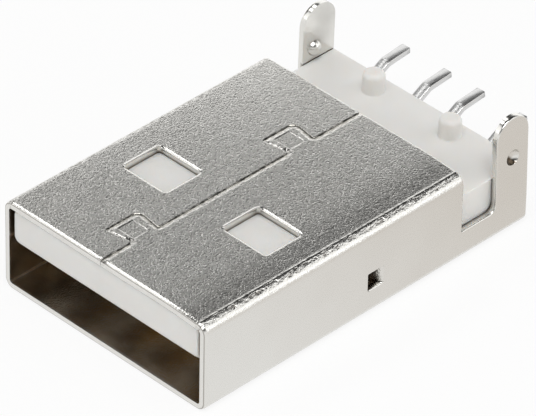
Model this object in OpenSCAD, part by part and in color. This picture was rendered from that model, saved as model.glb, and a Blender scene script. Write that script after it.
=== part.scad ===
// Type A plug for the edge of a circuit board, right angle, board side up.
// One folded sheet is closed round a white moulding that carries four contact strips.
// The mating front faces -Y, the board lies on the seat behind the sleeve, and the plain side rests on Z = 0.

/* [Shell] */
// Outside width of the shell
shell_w = 12; // [11.6:0.05:12.6]
// Outside height of the shell
shell_h = 4.5; // [4.3:0.05:5]
// Thickness of the folded sheet
sheet_t = 0.3; // [0.2:0.02:0.36]
// Outside radius of the lengthwise bends
bend_r = 0.45; // [0.4:0.05:0.7]
// Length of the closed sleeve, from the mating front to the rear edge of its top
sleeve_l = 15.1; // [14.4:0.1:16]
// Length of the whole shell, from the mating front to the rear edge of the ears
shell_l = 19.1; // [18.6:0.1:21]

/* [Latch windows] */
// Width of each window, across the shell
window_w = 2.5; // [2:0.05:2.8]
// Length of each window, along the shell
window_l = 2.05; // [1.8:0.05:2.6]
// Distance from the mating front to the front edge of the windows
window_y = 5.18; // [4.8:0.02:5.6]
// Distance between the middles of the two windows of a side
window_pitch = 5.94; // [5.6:0.02:6.4]
// Corner radius of the windows
window_r = 0.15; // [0.1:0.05:0.4]

/* [Seam] */
// Place of the seam across the top, from the middle
seam_x = -0.16; // [-0.3:0.02:0.3]
// Width of the open line along the seam
seam_gap = 0.04; // [0.02:0.01:0.08]
// Distance from the mating front to the middle of the front lock
lock_front_y = 2.52; // [2.2:0.02:3]
// Distance from the front lock to the rear lock, middle to middle
lock_pitch = 9.08; // [8.4:0.02:9.8]
// Depth of a lock, across the shell
lock_depth = 1.37; // [1:0.01:1.6]
// Width of a lock at its head
lock_head_w = 1.9; // [1.7:0.02:2.1]
// Width of a lock at its neck
lock_neck_w = 1.46; // [1.2:0.02:1.6]
// Corner radius of the neck and of the head's front corner
lock_r = 0.1; // [0.05:0.01:0.16]
// Corner radius of the head's rear corner
lock_rear_r = 0.34; // [0.1:0.02:0.4]
// Width of the staked mark on a lock, across the shell
stake_w = 1.02; // [0.6:0.02:1.1]
// Length of the staked mark, along the shell
stake_l = 0.92; // [0.6:0.02:1.1]
// Depth of the staked mark
stake_depth = 0.03; // [0.01:0.01:0.1]
// Distance from the seam to the middle of the staked mark
stake_in = 0.6; // [0.55:0.01:0.75]
// Distance of the staked mark's middle ahead of the lock's middle
stake_ahead = 0.1; // [0:0.02:0.16]

/* [Ears] */
// Length of each ear, along the shell
ear_l = 1.93; // [1.5:0.01:2.2]
// Height of the ears above the top of the shell
ear_rise = 1.36; // [1.2:0.02:2]
// Distance that the top of each ear leans in
ear_lean = 0.1; // [0:0.01:0.2]
// Height of the side strip that links the sleeve to the ears
strip_h = 1.47; // [1:0.01:2]
// Radius in the corner between the strip and the ear
strip_r = 0.35; // [0.1:0.05:0.6]
// Height of the right ear's dimple above the plain side, at its middle
dimple_z = 3.82; // [3.5:0.01:4.2]
// Height of the left ear's dimple above the plain side, at its middle
dimple_left_z = 3.66; // [3.5:0.01:4.2]
// Distance of the left ear's dimple ahead of the middle of the ear
dimple_left_ahead = 0.26; // [0:0.02:0.3]
// Diameter of each dimple on the outside of its ear
dimple_d = 0.66; // [0.4:0.02:0.8]
// Diameter of the bump that a dimple raises on the inside of its ear
bump_d = 0.74; // [0.5:0.02:0.9]
// Depth of a dimple and height of its bump
dimple_depth = 0.2; // [0.1:0.01:0.24]

/* [Side lances] */
// Distance from the mating front to the front edge of the lance's opening
lance_y = 9.49; // [9.2:0.01:10.2]
// Length of the opening, which is the whole length of the lance with its open front
lance_l = 0.97; // [0.8:0.01:1.2]
// Height of the opening
lance_h = 0.84; // [0.6:0.01:0.9]
// Height of the lance's middle above the plain side
lance_z = 1.73; // [1.65:0.01:1.8]
// Distance that the free end of the lance is pushed in
lance_in = 0.7; // [0.5:0.01:0.8]
// Distance of the free end behind the front edge of the opening
lance_short = 0.45; // [0.3:0.01:0.55]
// Width of the sheared line over and under the lance
lance_cut = 0.05; // [0.02:0.01:0.08]

/* [Insulator] */
// Clearance between the block and each ear, at the level of the board seat
block_fit = 0.02; // [0.01:0.01:0.1]
// Clearance between the tongue and each side wall of the shell
tongue_fit = 0.2; // [0.1:0.01:0.3]
// Clearance between the tongue and the top of the sleeve
top_fit = 0.02; // [0.01:0.01:0.05]
// Thickness of the tongue
tongue_t = 1.84; // [1.7:0.01:2]
// Distance of the tongue's tip behind the mating front
tongue_back = 0.06; // [0:0.01:0.3]
// Chamfer under the tongue's tip
tip_chamfer = 0.25; // [0.1:0.05:0.4]
// Depth of the mating hollow, from the mating front to the block
hollow_l = 8.65; // [8.4:0.01:8.9]
// Corner radius of the moulding's long edges
mould_r = 0.3; // [0.16:0.02:0.4]
// Depth of the board seat below the top of the shell
seat_drop = 1.45; // [1.3:0.01:1.6]
// Distance of the step before the seat behind the sleeve's rear edge
step_out = 0.05; // [0:0.01:0.2]
// Depth of the relief in the seat beside each ear, which keeps the board clear of the ear's bump
relief_depth = 0.05; // [0.02:0.01:0.1]
// Diameter of the locating pegs
peg_d = 1; // [0.8:0.05:1.3]
// Height of the locating pegs above the seat
peg_h = 1; // [0.7:0.05:1.4]
// Distance between the locating pegs, middle to middle
peg_pitch = 4.56; // [4:0.02:5.2]
// Radius round the top of each peg
peg_top_r = 0.26; // [0.1:0.02:0.35]
// Clearance round a lance's opening in its pocket
pocket_fit = 0.06; // [0.03:0.01:0.1]
// Depth of each lance pocket, from the outside of the shell
pocket_in = 1.8; // [1.6:0.05:1.9]

/* [Contacts] */
// Distance between the outer contacts, middle to middle
outer_pitch = 7; // [6.6:0.05:7.6]
// Distance between the inner contacts, middle to middle
inner_pitch = 2; // [1.8:0.05:2.4]
// Width of the blades
blade_w = 1; // [0.8:0.02:1.2]
// Thickness of the strip
blade_t = 0.26; // [0.18:0.01:0.3]
// Length of the outer blades in the hollow
long_blade = 7.41; // [7:0.01:7.8]
// Length of the inner blades in the hollow
short_blade = 6.41; // [6:0.01:6.8]
// Height that the blades stand out of the tongue
blade_proud = 0.03; // [0.01:0.01:0.08]
// Length of the sloped tip of each blade
blade_tip = 0.5; // [0.2:0.05:0.8]
// Clearance on each side of a strip in the moulding, which its barbs reach across
strip_fit = 0.05; // [0.02:0.01:0.1]
// Clearance over and under a strip in the moulding
strip_gap = 0.02; // [0.01:0.005:0.04]
// Length of each barb that holds a strip in the block
barb_l = 0.45; // [0.2:0.05:0.6]
// Distance from the end of the mating hollow to the first barb
barb_in = 2; // [1:0.1:3]
// Distance from one barb to the next
barb_pitch = 0.9; // [0.7:0.1:1.5]
// Width of the solder tails
tail_w = 0.5; // [0.3:0.02:0.6]
// Length of the flat end of each tail
tail_flat = 1.08; // [0.8:0.02:1.6]
// Straight length of a tail between the block and its first bend
tail_root = 0.06; // [0.02:0.01:0.3]
// Height of the tails above the board seat
tail_stand = 0.06; // [0:0.01:0.12]
// Slope of the tails, in degrees
tail_slope = 29; // [22:1:40]
// Radius of the tail's bends, at mid thickness
tail_r = 0.4; // [0.25:0.05:0.5]
// Length over which the blade narrows to the tail
shoulder_l = 0.3; // [0.2:0.05:0.5]
// Distance of the shoulder's end inside the block's rear face
shoulder_in = 0.35; // [0.1:0.05:0.6]

/* [Hidden] */

$fn = 48;

// Room that a cut runs past the face it starts from
past = 1;
// Steps in each small bend of an outline
bend_steps = 6;

// Heights, from the plain side up
floor_z = sheet_t;
seat_z = shell_h - seat_drop;
tongue_top = shell_h - sheet_t - top_fit;
tongue_face = tongue_top - tongue_t;
ear_top = shell_h + ear_rise;

// Places along the shell, from the mating front
ear_front = shell_l - ear_l;
ear_y = shell_l - ear_l / 2;
step_y = sleeve_l + step_out;

// Widths across the shell
block_w = shell_w - 2 * sheet_t - 2 * leaned(seat_z) - 2 * block_fit;
tongue_w = shell_w - 2 * sheet_t - 2 * tongue_fit;
slot_w = blade_w + 2 * strip_fit;

// Inner edge of the relief beside each ear, clear of the leaning ear and of its bump
relief_x = shell_w / 2 - sheet_t - ear_lean - dimple_depth;

// Level of the strips at mid thickness, under the tongue and at the tails
blade_z = tongue_face - blade_proud + blade_t / 2;
tail_z = seat_z + tail_stand - blade_t / 2;

// Length that the tails reach behind the shell
slope_l = (tail_z - blade_z - 2 * tail_r * (1 - cos(tail_slope))) / sin(tail_slope);
slope_run = slope_l * cos(tail_slope) + 2 * tail_r * sin(tail_slope);
tail_l = tail_root + slope_run + tail_flat;

// The part is centred along Y on its whole length, with its tails
front_y = -(shell_l + tail_l) / 2;

// Angle between a lance and the wall that it's cut from
lance_turn = atan2(lance_in, lance_l - lance_short);

// How fast a lock widens from its neck to its head
lock_slope = (lock_head_w - lock_neck_w) / 2 / lock_depth;

function unit(v) = v / norm(v);

// Distance that an ear has leaned in at height z
function leaned(z) = ear_lean * (z - strip_h) / (ear_top - strip_h);

// Points of a round corner at b, between a and c, with radius b[2]
function round_corner(a, b, c) =
    let (
        p = [b[0], b[1]],
        u = unit([a[0], a[1]] - p),
        v = unit([c[0], c[1]] - p),
        half = acos(u * v) / 2,
        centre = p + unit(u + v) * b[2] / sin(half),
        start = p + u * b[2] / tan(half) - centre,
        stop = p + v * b[2] / tan(half) - centre
    )
    [for (i = [0:bend_steps]) centre + b[2] * unit(start + (stop - start) * i / bend_steps)];

// An open outline whose inner points [x, y, radius] are rounded
function round_path(p) = [
    for (i = [0:len(p) - 1])
        each (i == 0 || i == len(p) - 1) ? [[p[i][0], p[i][1]]] : round_corner(p[i - 1], p[i], p[i + 1])
];

function reversed(p) = [for (i = [len(p) - 1:-1:0]) p[i]];

// One edge of the seam, moved away from the locking tabs by off
function seam_edge(off) =
    let (grow = off * (lock_slope + sqrt(1 + lock_slope * lock_slope)))
    concat(
        [[seam_x - off, -past]],
        [for (y = [lock_front_y, lock_front_y + lock_pitch]) each [
            [seam_x - off, y - lock_neck_w / 2 - grow, lock_r + seam_gap - off],
            [seam_x - lock_depth - off, y - lock_head_w / 2 - grow, lock_r + off],
            [seam_x - lock_depth - off, y + lock_head_w / 2 + grow, lock_rear_r + off],
            [seam_x - off, y + lock_neck_w / 2 + grow, lock_r + seam_gap - off],
        ]],
        [[seam_x - off, sleeve_l + past]]
    );

// Middle line of a contact strip in its side view, as [y, z, heading]
function strip_line(tip_y) =
    let (
        bend_y = shell_l + tail_root,
        top_y = bend_y + slope_run
    )
    concat(
        [[tip_y, blade_z, 0]],
        [for (i = [0:bend_steps]) let (a = tail_slope * i / bend_steps)
            [bend_y + tail_r * sin(a), blade_z + tail_r * (1 - cos(a)), a]],
        [for (i = [bend_steps:-1:0]) let (a = tail_slope * i / bend_steps)
            [top_y - tail_r * sin(a), tail_z - tail_r * (1 - cos(a)), a]],
        [[top_y + tail_flat, tail_z, 0]]
    );

// One face of a strip, at distance off from its middle line
function strip_face(line, off) = [
    for (p = line) [p[0] - off * sin(p[2]), p[1] + off * cos(p[2])]
];

// Moves the mating front to its place in the part's frame
module placed() {
    translate([0, front_y, 0]) children();
}

module both_sides() {
    children();
    mirror([1, 0, 0]) children();
}

// Extrudes a cross section, drawn in X and Z, from one place along the shell to another
module along(from, to) {
    translate([0, to, 0]) rotate([90, 0, 0]) linear_extrude(to - from) children();
}

// Extrudes a side view, drawn in Y and Z, across a width that is centred on x
module across(width, x = 0) {
    translate([x - width / 2, 0, 0]) rotate([90, 0, 90]) linear_extrude(width) children();
}

// Rectangle with round corners, centred across and standing on height z
module round_rect(w, h, r, z = 0) {
    translate([-w / 2, z]) {
        translate([r, 0]) square([w - 2 * r, h]);
        translate([0, r]) square([w, h - 2 * r]);
        for (x = [r, w - r], y = [r, h - r]) translate([x, y]) circle(r);
    }
}

// Cross section of the folded sheet, closed at height h
module sheet_section(h) {
    difference() {
        round_rect(shell_w, h, bend_r);
        round_rect(shell_w - 2 * sheet_t, h - 2 * sheet_t, bend_r - sheet_t, sheet_t);
    }
}

// Side view of what stands behind the sleeve: the low strip and the round-topped ear
module ear_outline() {
    square([shell_l, strip_h]);
    translate([ear_front, 0]) square([ear_l, ear_top - ear_l / 2]);
    translate([ear_y, ear_top - ear_l / 2]) circle(ear_l / 2);
    difference() {
        translate([ear_front - strip_r, 0]) square([strip_r, strip_h + strip_r]);
        translate([ear_front - strip_r, strip_h + strip_r]) circle(strip_r);
    }
}

module sleeve() {
    along(0, sleeve_l) sheet_section(shell_h);
}

// Cross section behind the sleeve: the tray with its low sides, and the ears that lean in
module tray_section() {
    intersection() {
        sheet_section(2 * ear_top);
        translate([-shell_w / 2, 0]) square([shell_w, strip_h]);
    }
    both_sides() polygon([
        [shell_w / 2, strip_h],
        [shell_w / 2 - ear_lean, ear_top],
        [shell_w / 2 - ear_lean - sheet_t, ear_top],
        [shell_w / 2 - sheet_t, strip_h],
    ]);
}

module tray_and_ears() {
    intersection() {
        along(sleeve_l, shell_l) tray_section();
        across(shell_w) ear_outline();
    }
}

// Latch windows through the top and the plain side
module latch_windows() {
    for (x = [-window_pitch / 2, window_pitch / 2])
        translate([x, window_y, -past])
            linear_extrude(shell_h + 2 * past) round_rect(window_w, window_l, window_r);
}

// The open line where the two edges of the sheet meet, with its dovetail locks
module seam_line() {
    translate([0, 0, shell_h - sheet_t - top_fit])
        linear_extrude(sheet_t + past)
            polygon(concat(round_path(seam_edge(0)), reversed(round_path(seam_edge(seam_gap)))));
}

module stake_marks() {
    for (y = [lock_front_y, lock_front_y + lock_pitch])
        translate([seam_x - stake_in - stake_w / 2, y - stake_ahead - stake_l / 2, shell_h - stake_depth])
            cube([stake_w, stake_l, past]);
}

module lance_opening() {
    translate([shell_w / 2 - sheet_t - past / 2, lance_y, lance_z - lance_h / 2])
        cube([sheet_t + past, lance_l, lance_h]);
}

// Flap that stays on the wall at its rear end and leans in towards its front end
module lance_flap() {
    out = shell_w / 2;
    rear = lance_y + lance_l;
    tip = lance_y + lance_short;
    height = lance_h - 2 * lance_cut;
    translate([0, 0, lance_z - height / 2])
        linear_extrude(height)
            polygon([
                [out, rear + lance_l / 4],
                [out, rear],
                [out - lance_in, tip],
                [out - lance_in - sheet_t * cos(lance_turn), tip + sheet_t * sin(lance_turn)],
                [out - sheet_t, rear + sheet_t * tan(lance_turn / 2)],
                [out - sheet_t, rear + lance_l / 4],
            ]);
}

// Sphere whose cap of the given diameter stands the given height out of the face x, towards -X
module cap_sphere(x, y, z, d, height) {
    r = (height * height + d * d / 4) / (2 * height);
    translate([x + r - height - leaned(z), y, z]) sphere(r);
}

module dimple(y, z) {
    cap_sphere(shell_w / 2, y, z, dimple_d, dimple_depth);
}

module dimple_bump(y, z) {
    inner = shell_w / 2 - sheet_t;
    intersection() {
        cap_sphere(inner, y, z, bump_d, dimple_depth);
        translate([inner - past, ear_front, z - bump_d])
            cube([past + sheet_t / 4, ear_l, 2 * bump_d]);
    }
}

module shell() {
    color("#BDBCB9") placed() {
        difference() {
            union() {
                sleeve();
                tray_and_ears();
                dimple_bump(ear_y, dimple_z);
                mirror([1, 0, 0]) dimple_bump(ear_y - dimple_left_ahead, dimple_left_z);
            }
            latch_windows();
            seam_line();
            stake_marks();
            both_sides() lance_opening();
            dimple(ear_y, dimple_z);
            mirror([1, 0, 0]) dimple(ear_y - dimple_left_ahead, dimple_left_z);
        }
        both_sides() lance_flap();
    }
}

// Side view of the tongue
module tongue_side() {
    polygon([
        [tongue_back, tongue_top],
        [tongue_back, tongue_face + tip_chamfer],
        [tongue_back + tip_chamfer, tongue_face],
        [hollow_l, tongue_face],
        [hollow_l, tongue_top],
    ]);
}

module tongue() {
    intersection() {
        across(tongue_w) tongue_side();
        along(0, hollow_l) round_rect(tongue_w, tongue_t, mould_r, tongue_face);
    }
}

// Shallow relief in the seat beside an ear
module ear_relief() {
    translate([relief_x, ear_front - block_fit, seat_z - relief_depth])
        cube([shell_w, shell_l, shell_h]);
}

// Block that fills the rear of the shell, cut down behind the sleeve to the board seat
module block() {
    difference() {
        along(hollow_l, shell_l) round_rect(block_w, tongue_top - floor_z, mould_r, floor_z);
        translate([-shell_w / 2, step_y, seat_z]) cube([shell_w, shell_l, shell_h]);
        both_sides() ear_relief();
    }
}

// Peg with a rounded top, standing on the seat
module peg() {
    straight = peg_h - peg_top_r;
    core = peg_d / 2 - peg_top_r;
    translate([0, 0, -mould_r]) rotate_extrude() {
        square([peg_d / 2, straight + mould_r]);
        square([core, peg_h + mould_r]);
        translate([core, straight + mould_r]) intersection() {
            circle(peg_top_r);
            square(peg_top_r);
        }
    }
}

module lance_pocket() {
    length = lance_l + sheet_t * tan(lance_turn / 2) + 2 * pocket_fit;
    translate([shell_w / 2 - pocket_in, lance_y - pocket_fit, lance_z - lance_h / 2 - pocket_fit])
        cube([pocket_in, length, lance_h + 2 * pocket_fit]);
}

// Groove under the tongue and slot through the block that hold one strip
module strip_slot(x, blade_l) {
    tip_y = hollow_l - blade_l;
    height = blade_t + 2 * strip_gap;
    translate([x - slot_w / 2, tip_y - strip_fit, blade_z - height / 2])
        cube([slot_w, shell_l + past - tip_y, height]);
}

module insulator() {
    color("#E3E2DE") placed() difference() {
        union() {
            tongue();
            block();
            for (x = [-peg_pitch / 2, peg_pitch / 2]) translate([x, ear_y, seat_z]) peg();
        }
        both_sides() lance_pocket();
        for (x = [-outer_pitch / 2, outer_pitch / 2]) strip_slot(x, long_blade);
        for (x = [-inner_pitch / 2, inner_pitch / 2]) strip_slot(x, short_blade);
    }
}

// Side view of a strip, with the sloped tip that leads into the tongue
module strip_side(tip_y) {
    line = strip_line(tip_y);
    low = strip_face(line, -blade_t / 2);
    difference() {
        polygon(concat(strip_face(line, blade_t / 2), reversed(low)));
        polygon([
            [tip_y, blade_z],
            [tip_y + blade_tip, blade_z - blade_t / 2],
            [tip_y + blade_tip, blade_z - blade_t],
            [tip_y - blade_t, blade_z - blade_t],
            [tip_y - blade_t, blade_z],
        ]);
    }
}

// Barbs on one edge of a strip, sloped towards the front so that it can't slide back out
module barbs() {
    for (y = [hollow_l + barb_in, hollow_l + barb_in + barb_pitch])
        polygon([
            [0, y],
            [blade_w / 2, y],
            [slot_w / 2, y + barb_l],
            [0, y + barb_l],
        ]);
}

// Plan of a strip, from the broad blade to the narrow tail
module strip_plan(tip_y) {
    neck_y = shell_l - shoulder_in;
    polygon([
        [-blade_w / 2, tip_y],
        [blade_w / 2, tip_y],
        [blade_w / 2, neck_y - shoulder_l],
        [tail_w / 2, neck_y],
        [tail_w / 2, shell_l + tail_l],
        [-tail_w / 2, shell_l + tail_l],
        [-tail_w / 2, neck_y],
        [-blade_w / 2, neck_y - shoulder_l],
    ]);
    both_sides() barbs();
}

module contact(x, blade_l) {
    tip_y = hollow_l - blade_l;
    color("#C6C4BF") placed() translate([x, 0, 0]) intersection() {
        across(slot_w) strip_side(tip_y);
        linear_extrude(shell_h) strip_plan(tip_y);
    }
}

module contact_outer_left() {
    contact(-outer_pitch / 2, long_blade);
}

module contact_inner_left() {
    contact(-inner_pitch / 2, short_blade);
}

module contact_inner_right() {
    contact(inner_pitch / 2, short_blade);
}

module contact_outer_right() {
    contact(outer_pitch / 2, long_blade);
}

shell();
insulator();
contact_outer_left();
contact_inner_left();
contact_inner_right();
contact_outer_right();
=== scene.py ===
"""Looks of a board-mount plug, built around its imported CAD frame.

The shell is drawn the way it is made: the flat sheet is outlined with its windows, lances and locking
edges, its cut edges are rolled over as a punch leaves them, and the sheet is then folded round the moulding.
Sizes are in millimetres and become metres where a mesh is written.
"""

import logging
import math
from dataclasses import dataclass
from enum import Enum
from typing import Any, Iterable, Sequence

import bmesh
import bpy
import numpy as np
from mathutils import Matrix, Vector
from mathutils.geometry import delaunay_2d_cdt


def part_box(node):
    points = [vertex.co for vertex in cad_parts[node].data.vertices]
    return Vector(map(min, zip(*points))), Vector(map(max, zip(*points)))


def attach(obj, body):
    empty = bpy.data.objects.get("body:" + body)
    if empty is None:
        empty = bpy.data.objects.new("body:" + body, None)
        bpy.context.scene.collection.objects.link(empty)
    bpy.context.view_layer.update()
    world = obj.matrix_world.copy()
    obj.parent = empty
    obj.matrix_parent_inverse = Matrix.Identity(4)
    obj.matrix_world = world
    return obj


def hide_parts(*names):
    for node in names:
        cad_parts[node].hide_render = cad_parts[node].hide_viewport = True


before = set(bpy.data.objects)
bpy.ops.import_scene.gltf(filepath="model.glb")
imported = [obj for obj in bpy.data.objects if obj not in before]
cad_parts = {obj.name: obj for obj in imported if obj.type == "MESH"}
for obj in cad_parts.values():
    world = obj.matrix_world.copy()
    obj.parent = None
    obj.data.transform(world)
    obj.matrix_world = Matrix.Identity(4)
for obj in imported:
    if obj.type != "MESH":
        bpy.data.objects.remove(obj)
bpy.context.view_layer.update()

LOG = logging.getLogger("plug")
MM = 0.001
BODY = "root"
# Lengths and angles that differ by less than this count as equal.
TINY = 1e-6
# Differences that come from rounding alone.
ROUNDING = 1e-9
# Power of the curve along which a rolled or turned-up edge rises towards its cut.
ROLL_POWER = 1.35

Point = tuple[float, float]
Tree = bpy.types.NodeTree
Socket = bpy.types.NodeSocket


class Slot(Enum):
    """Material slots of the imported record."""

    SHELL = "shell_metal"
    INSULATOR = "insulator_plastic"
    CONTACT = "contact_metal"


class Side(Enum):
    """Side of the plug, with the sign of X there."""

    LEFT = -1
    RIGHT = 1


class Contact(Enum):
    """The four contacts, each with its CAD node, its place across the plug and its blade's length."""

    OUTER_LEFT = ("contact_outer_left", -3.5, 7.41)
    INNER_LEFT = ("contact_inner_left", -1.0, 6.41)
    INNER_RIGHT = ("contact_inner_right", 1.0, 6.41)
    OUTER_RIGHT = ("contact_outer_right", 3.5, 7.41)

    def __init__(self, node: str, x: float, blade_l: float) -> None:
        """Keeps the three values under their names."""
        self.node, self.x, self.blade_l = node, x, blade_l


def linear_rgba(hex_colour: str) -> tuple[float, float, float, float]:
    """Turns an sRGB hex colour into linear RGBA.

    Args:
        hex_colour: colour as "#RRGGBB".

    Returns:
        Linear red, green and blue, with alpha 1.
    """
    channels = [int(hex_colour[i:i + 2], 16) / 255 for i in (1, 3, 5)]
    linear = [c / 12.92 if c <= 0.04045 else ((c + 0.055) / 1.055) ** 2.4 for c in channels]
    return (*linear, 1.0)


def add_node(tree: Tree, kind: str, **settings: Any) -> bpy.types.Node:
    """Adds a node with its settings and links.

    Args:
        tree: node tree that the node goes into.
        kind: Blender's identifier of the node type.
        **settings: lower-case names are the node's own properties. Names that start with a capital are
            input sockets, with underscores for spaces, and "In0", "In1" and so on are inputs by number.
            An output socket as the value makes a link, and anything else becomes the socket's value.

    Returns:
        The new node.
    """
    node = tree.nodes.new(kind)
    sockets = {}
    for name, value in settings.items():
        if name[0].isupper():
            sockets[name] = value
        else:
            setattr(node, name, value)
    for name, value in sockets.items():
        by_number = name.startswith("In") and name[2:].isdigit()
        socket = node.inputs[int(name[2:]) if by_number else name.replace("_", " ")]
        if isinstance(value, bpy.types.NodeSocket):
            tree.links.new(value, socket)
        else:
            socket.default_value = value
    return node


def new_material(name: str) -> tuple[bpy.types.Material, Tree]:
    """Makes an empty node material.

    Args:
        name: name of the material.

    Returns:
        The material and its node tree, with no nodes.
    """
    material = bpy.data.materials.new(name)
    material.use_nodes = True
    material.node_tree.nodes.clear()
    return material, material.node_tree


def add_noise(tree: Tree, place: Socket, size_mm: float, detail: float) -> Socket:
    """Adds a noise pattern with spots of about size_mm, and gives its value."""
    scale = 1 / (size_mm * MM)
    return add_node(tree, "ShaderNodeTexNoise", Vector=place, Scale=scale, Detail=detail).outputs["Fac"]


def add_attribute(tree: Tree, name: str) -> Socket:
    """Adds one of the piece's own attributes, and gives its value."""
    return add_node(tree, "ShaderNodeAttribute", attribute_name=name).outputs["Fac"]


def add_math(tree: Tree, operation: str, *values: Any, clamp: bool = False) -> Socket:
    """Adds one step of arithmetic on numbers and sockets, and gives its result."""
    inputs = {f"In{i}": value for i, value in enumerate(values)}
    return add_node(tree, "ShaderNodeMath", operation=operation, use_clamp=clamp, **inputs).outputs[0]


def add_range(
        tree: Tree, value: Socket, span: Point, low: float = 0.0, high: float = 1.0,
        smooth: bool = False) -> Socket:
    """Adds a step that carries a span of values over to those from low to high.

    Args:
        tree: node tree that it goes into.
        value: socket of the values.
        span: values at which the result is low and high. Beyond them it stays level.
        low: result at the start of the span.
        high: result at its end.
        smooth: whether it eases in and out.

    Returns:
        The result's socket.
    """
    mapped = add_node(
        tree, "ShaderNodeMapRange", interpolation_type="SMOOTHSTEP" if smooth else "LINEAR", Value=value,
        From_Min=span[0], From_Max=span[1], To_Min=low, To_Max=high)
    return mapped.outputs["Result"]


def add_blend(tree: Tree, share: Socket, first: str | Socket, second: str | Socket) -> Socket:
    """Adds a blend of two colours.

    Args:
        tree: node tree that it goes into.
        share: socket of the second colour's share.
        first: colour as "#RRGGBB", or its socket.
        second: the other colour, likewise.

    Returns:
        The blended colour's socket.
    """
    first, second = (linear_rgba(c) if isinstance(c, str) else c for c in (first, second))
    return add_node(tree, "ShaderNodeMix", data_type="RGBA", In0=share, In6=first, In7=second).outputs[2]


def add_openness(tree: Tree, reach_mm: float, span: Point, low: float = 0.0) -> Socket:
    """Adds a measure of how open the surroundings are.

    Args:
        tree: node tree that it goes into.
        reach_mm: distance within which other faces count.
        span: openness that counts as shut and as open.
        low: result where it is shut.

    Returns:
        The socket of the result, which is 1 in the open.
    """
    seen = add_node(tree, "ShaderNodeAmbientOcclusion", samples=8, Distance=reach_mm * MM)
    return add_range(tree, seen.outputs["AO"], span, low)


@dataclass(frozen=True)
class SatinNickel:
    """Satin nickel plate on cold-rolled sheet: a soft grey mirror with fine pits, rougher where strained.

    Punch and die rub the cut edges, dimples and marks smooth. Inside the sleeve the plate is painted browner
    and darker as painted shade. Painted shade also darkens corners, the pits of strained skin, one side of
    each dent, a crescent over each bump, a line along some noses and the lower part of cuts, which is also
    their dull torn zone.
    """

    # The plate itself outside the sleeve, and inside it painted browner and darker as painted shade, with
    # painted mottled reflections
    colour: str = "#E2E1DD"
    dull_colour: str = "#DAD8D3"
    cloud_mm: float = 3.0
    inside_colour: str = "#D2C6B6"
    inside_dull_colour: str = "#A19484"
    stain_mm: float = 1.6
    stain_span: Point = (0.35, 0.65)
    # Painted shade in corners and pits, and the colour of all the painted shade on the plate
    painted_shade_colour: str = "#544A3E"
    corner_shade_mm: float = 0.4
    corner_shade_span: Point = (0.15, 0.5)
    corner_least_lit: float = 0.5
    pit_span: Point = (0.36, 0.5)
    pit_shade: float = 0.6
    # Gloss
    roughness: float = 0.3
    roughness_drop: float = 0.04
    roughness_gain: float = 0.06
    burnished_roughness: float = 0.19
    # The real grain is some thousandths of a millimetre, too fine to show, so it is drawn coarser
    grain_mm: float = 0.07
    grain_span: Point = (0.3, 0.7)
    grain_height_mm: float = 0.019
    # The torn skin of a bend is drawn coarser than it is for the same reason, and longer along the bend
    strained_grain_mm: float = 0.13
    strained_along: float = 0.5
    strained_height_mm: float = 0.09

    def plating(self, tree: Tree, place: Socket) -> Socket:
        """Adds the colour of the plate, painted browner and darker inside the sleeve as painted shade, with
        painted mottled reflections there.

        Args:
            tree: node tree that it goes into.
            place: coordinates that the patterns follow.

        Returns:
            The colour's socket.
        """
        cloud = add_noise(tree, place, self.cloud_mm, detail=2.0)
        outside = add_blend(tree, cloud, self.dull_colour, self.colour)
        mottle = add_range(tree, add_noise(tree, place, self.stain_mm, detail=2.0), self.stain_span)
        shaded_inside = add_blend(tree, mottle, self.inside_dull_colour, self.inside_colour)
        return add_blend(tree, add_attribute(tree, "inside"), outside, shaded_inside)

    def unshaded_share(self, tree: Tree, skin: Socket, strained: Socket) -> Socket:
        """Adds the share of the plate that painted shade leaves clear.

        Args:
            tree: node tree that it goes into.
            skin: relief of the strained skin, whose pits get painted shade.
            strained: how strained the skin is.

        Returns:
            The socket of the share, from 0 in full painted shade to 1.
        """
        pits = add_range(tree, skin, self.pit_span, self.pit_shade, 0.0)
        # Painted shade in the pits of strained skin and where the shell marks it
        painted_shade_share = add_math(tree, "MULTIPLY_ADD", pits, strained, add_attribute(tree, "painted_shade"))
        lit = add_openness(tree, self.corner_shade_mm, self.corner_shade_span, self.corner_least_lit)
        return add_math(tree, "SUBTRACT", lit, painted_shade_share, clamp=True)

    def material(self) -> bpy.types.Material:
        """Builds the shell's material.

        Returns:
            The material.
        """
        material, tree = new_material("satin nickel plate")
        place = add_node(tree, "ShaderNodeTexCoord").outputs["Object"]
        grain = add_noise(tree, place, self.grain_mm, detail=0.0)
        drawn = add_node(tree, "ShaderNodeMapping", Vector=place, Scale=(1.0, self.strained_along, 1.0))
        skin = add_noise(tree, drawn.outputs["Vector"], self.strained_grain_mm, detail=2.0)
        strained, burnished = (add_attribute(tree, name) for name in ("strained", "burnished"))
        # Painted shade darkens corners, pits and the spots that the shell marks
        unshaded = self.unshaded_share(tree, skin, strained)
        colour = add_blend(tree, unshaded, self.painted_shade_colour, self.plating(tree, place))
        satin = add_range(
            tree, grain, self.grain_span, self.roughness - self.roughness_drop,
            self.roughness + self.roughness_gain)
        gloss = add_node(
            tree, "ShaderNodeMix", data_type="FLOAT", In0=burnished, In2=satin, In3=self.burnished_roughness)
        pitted = add_math(tree, "SUBTRACT", 1.0, burnished)
        fine = add_node(
            tree, "ShaderNodeBump", Height=grain, Distance=self.grain_height_mm * MM, Strength=pitted)
        rough = add_node(
            tree, "ShaderNodeBump", Height=skin, Distance=self.strained_height_mm * MM, Strength=strained,
            Normal=fine.outputs["Normal"])
        shader = add_node(
            tree, "ShaderNodeBsdfPrincipled", Base_Color=colour, Metallic=1.0, Roughness=gloss.outputs[0],
            Normal=rough.outputs["Normal"])
        add_node(tree, "ShaderNodeOutputMaterial", Surface=shader.outputs["BSDF"])
        return material


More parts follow.
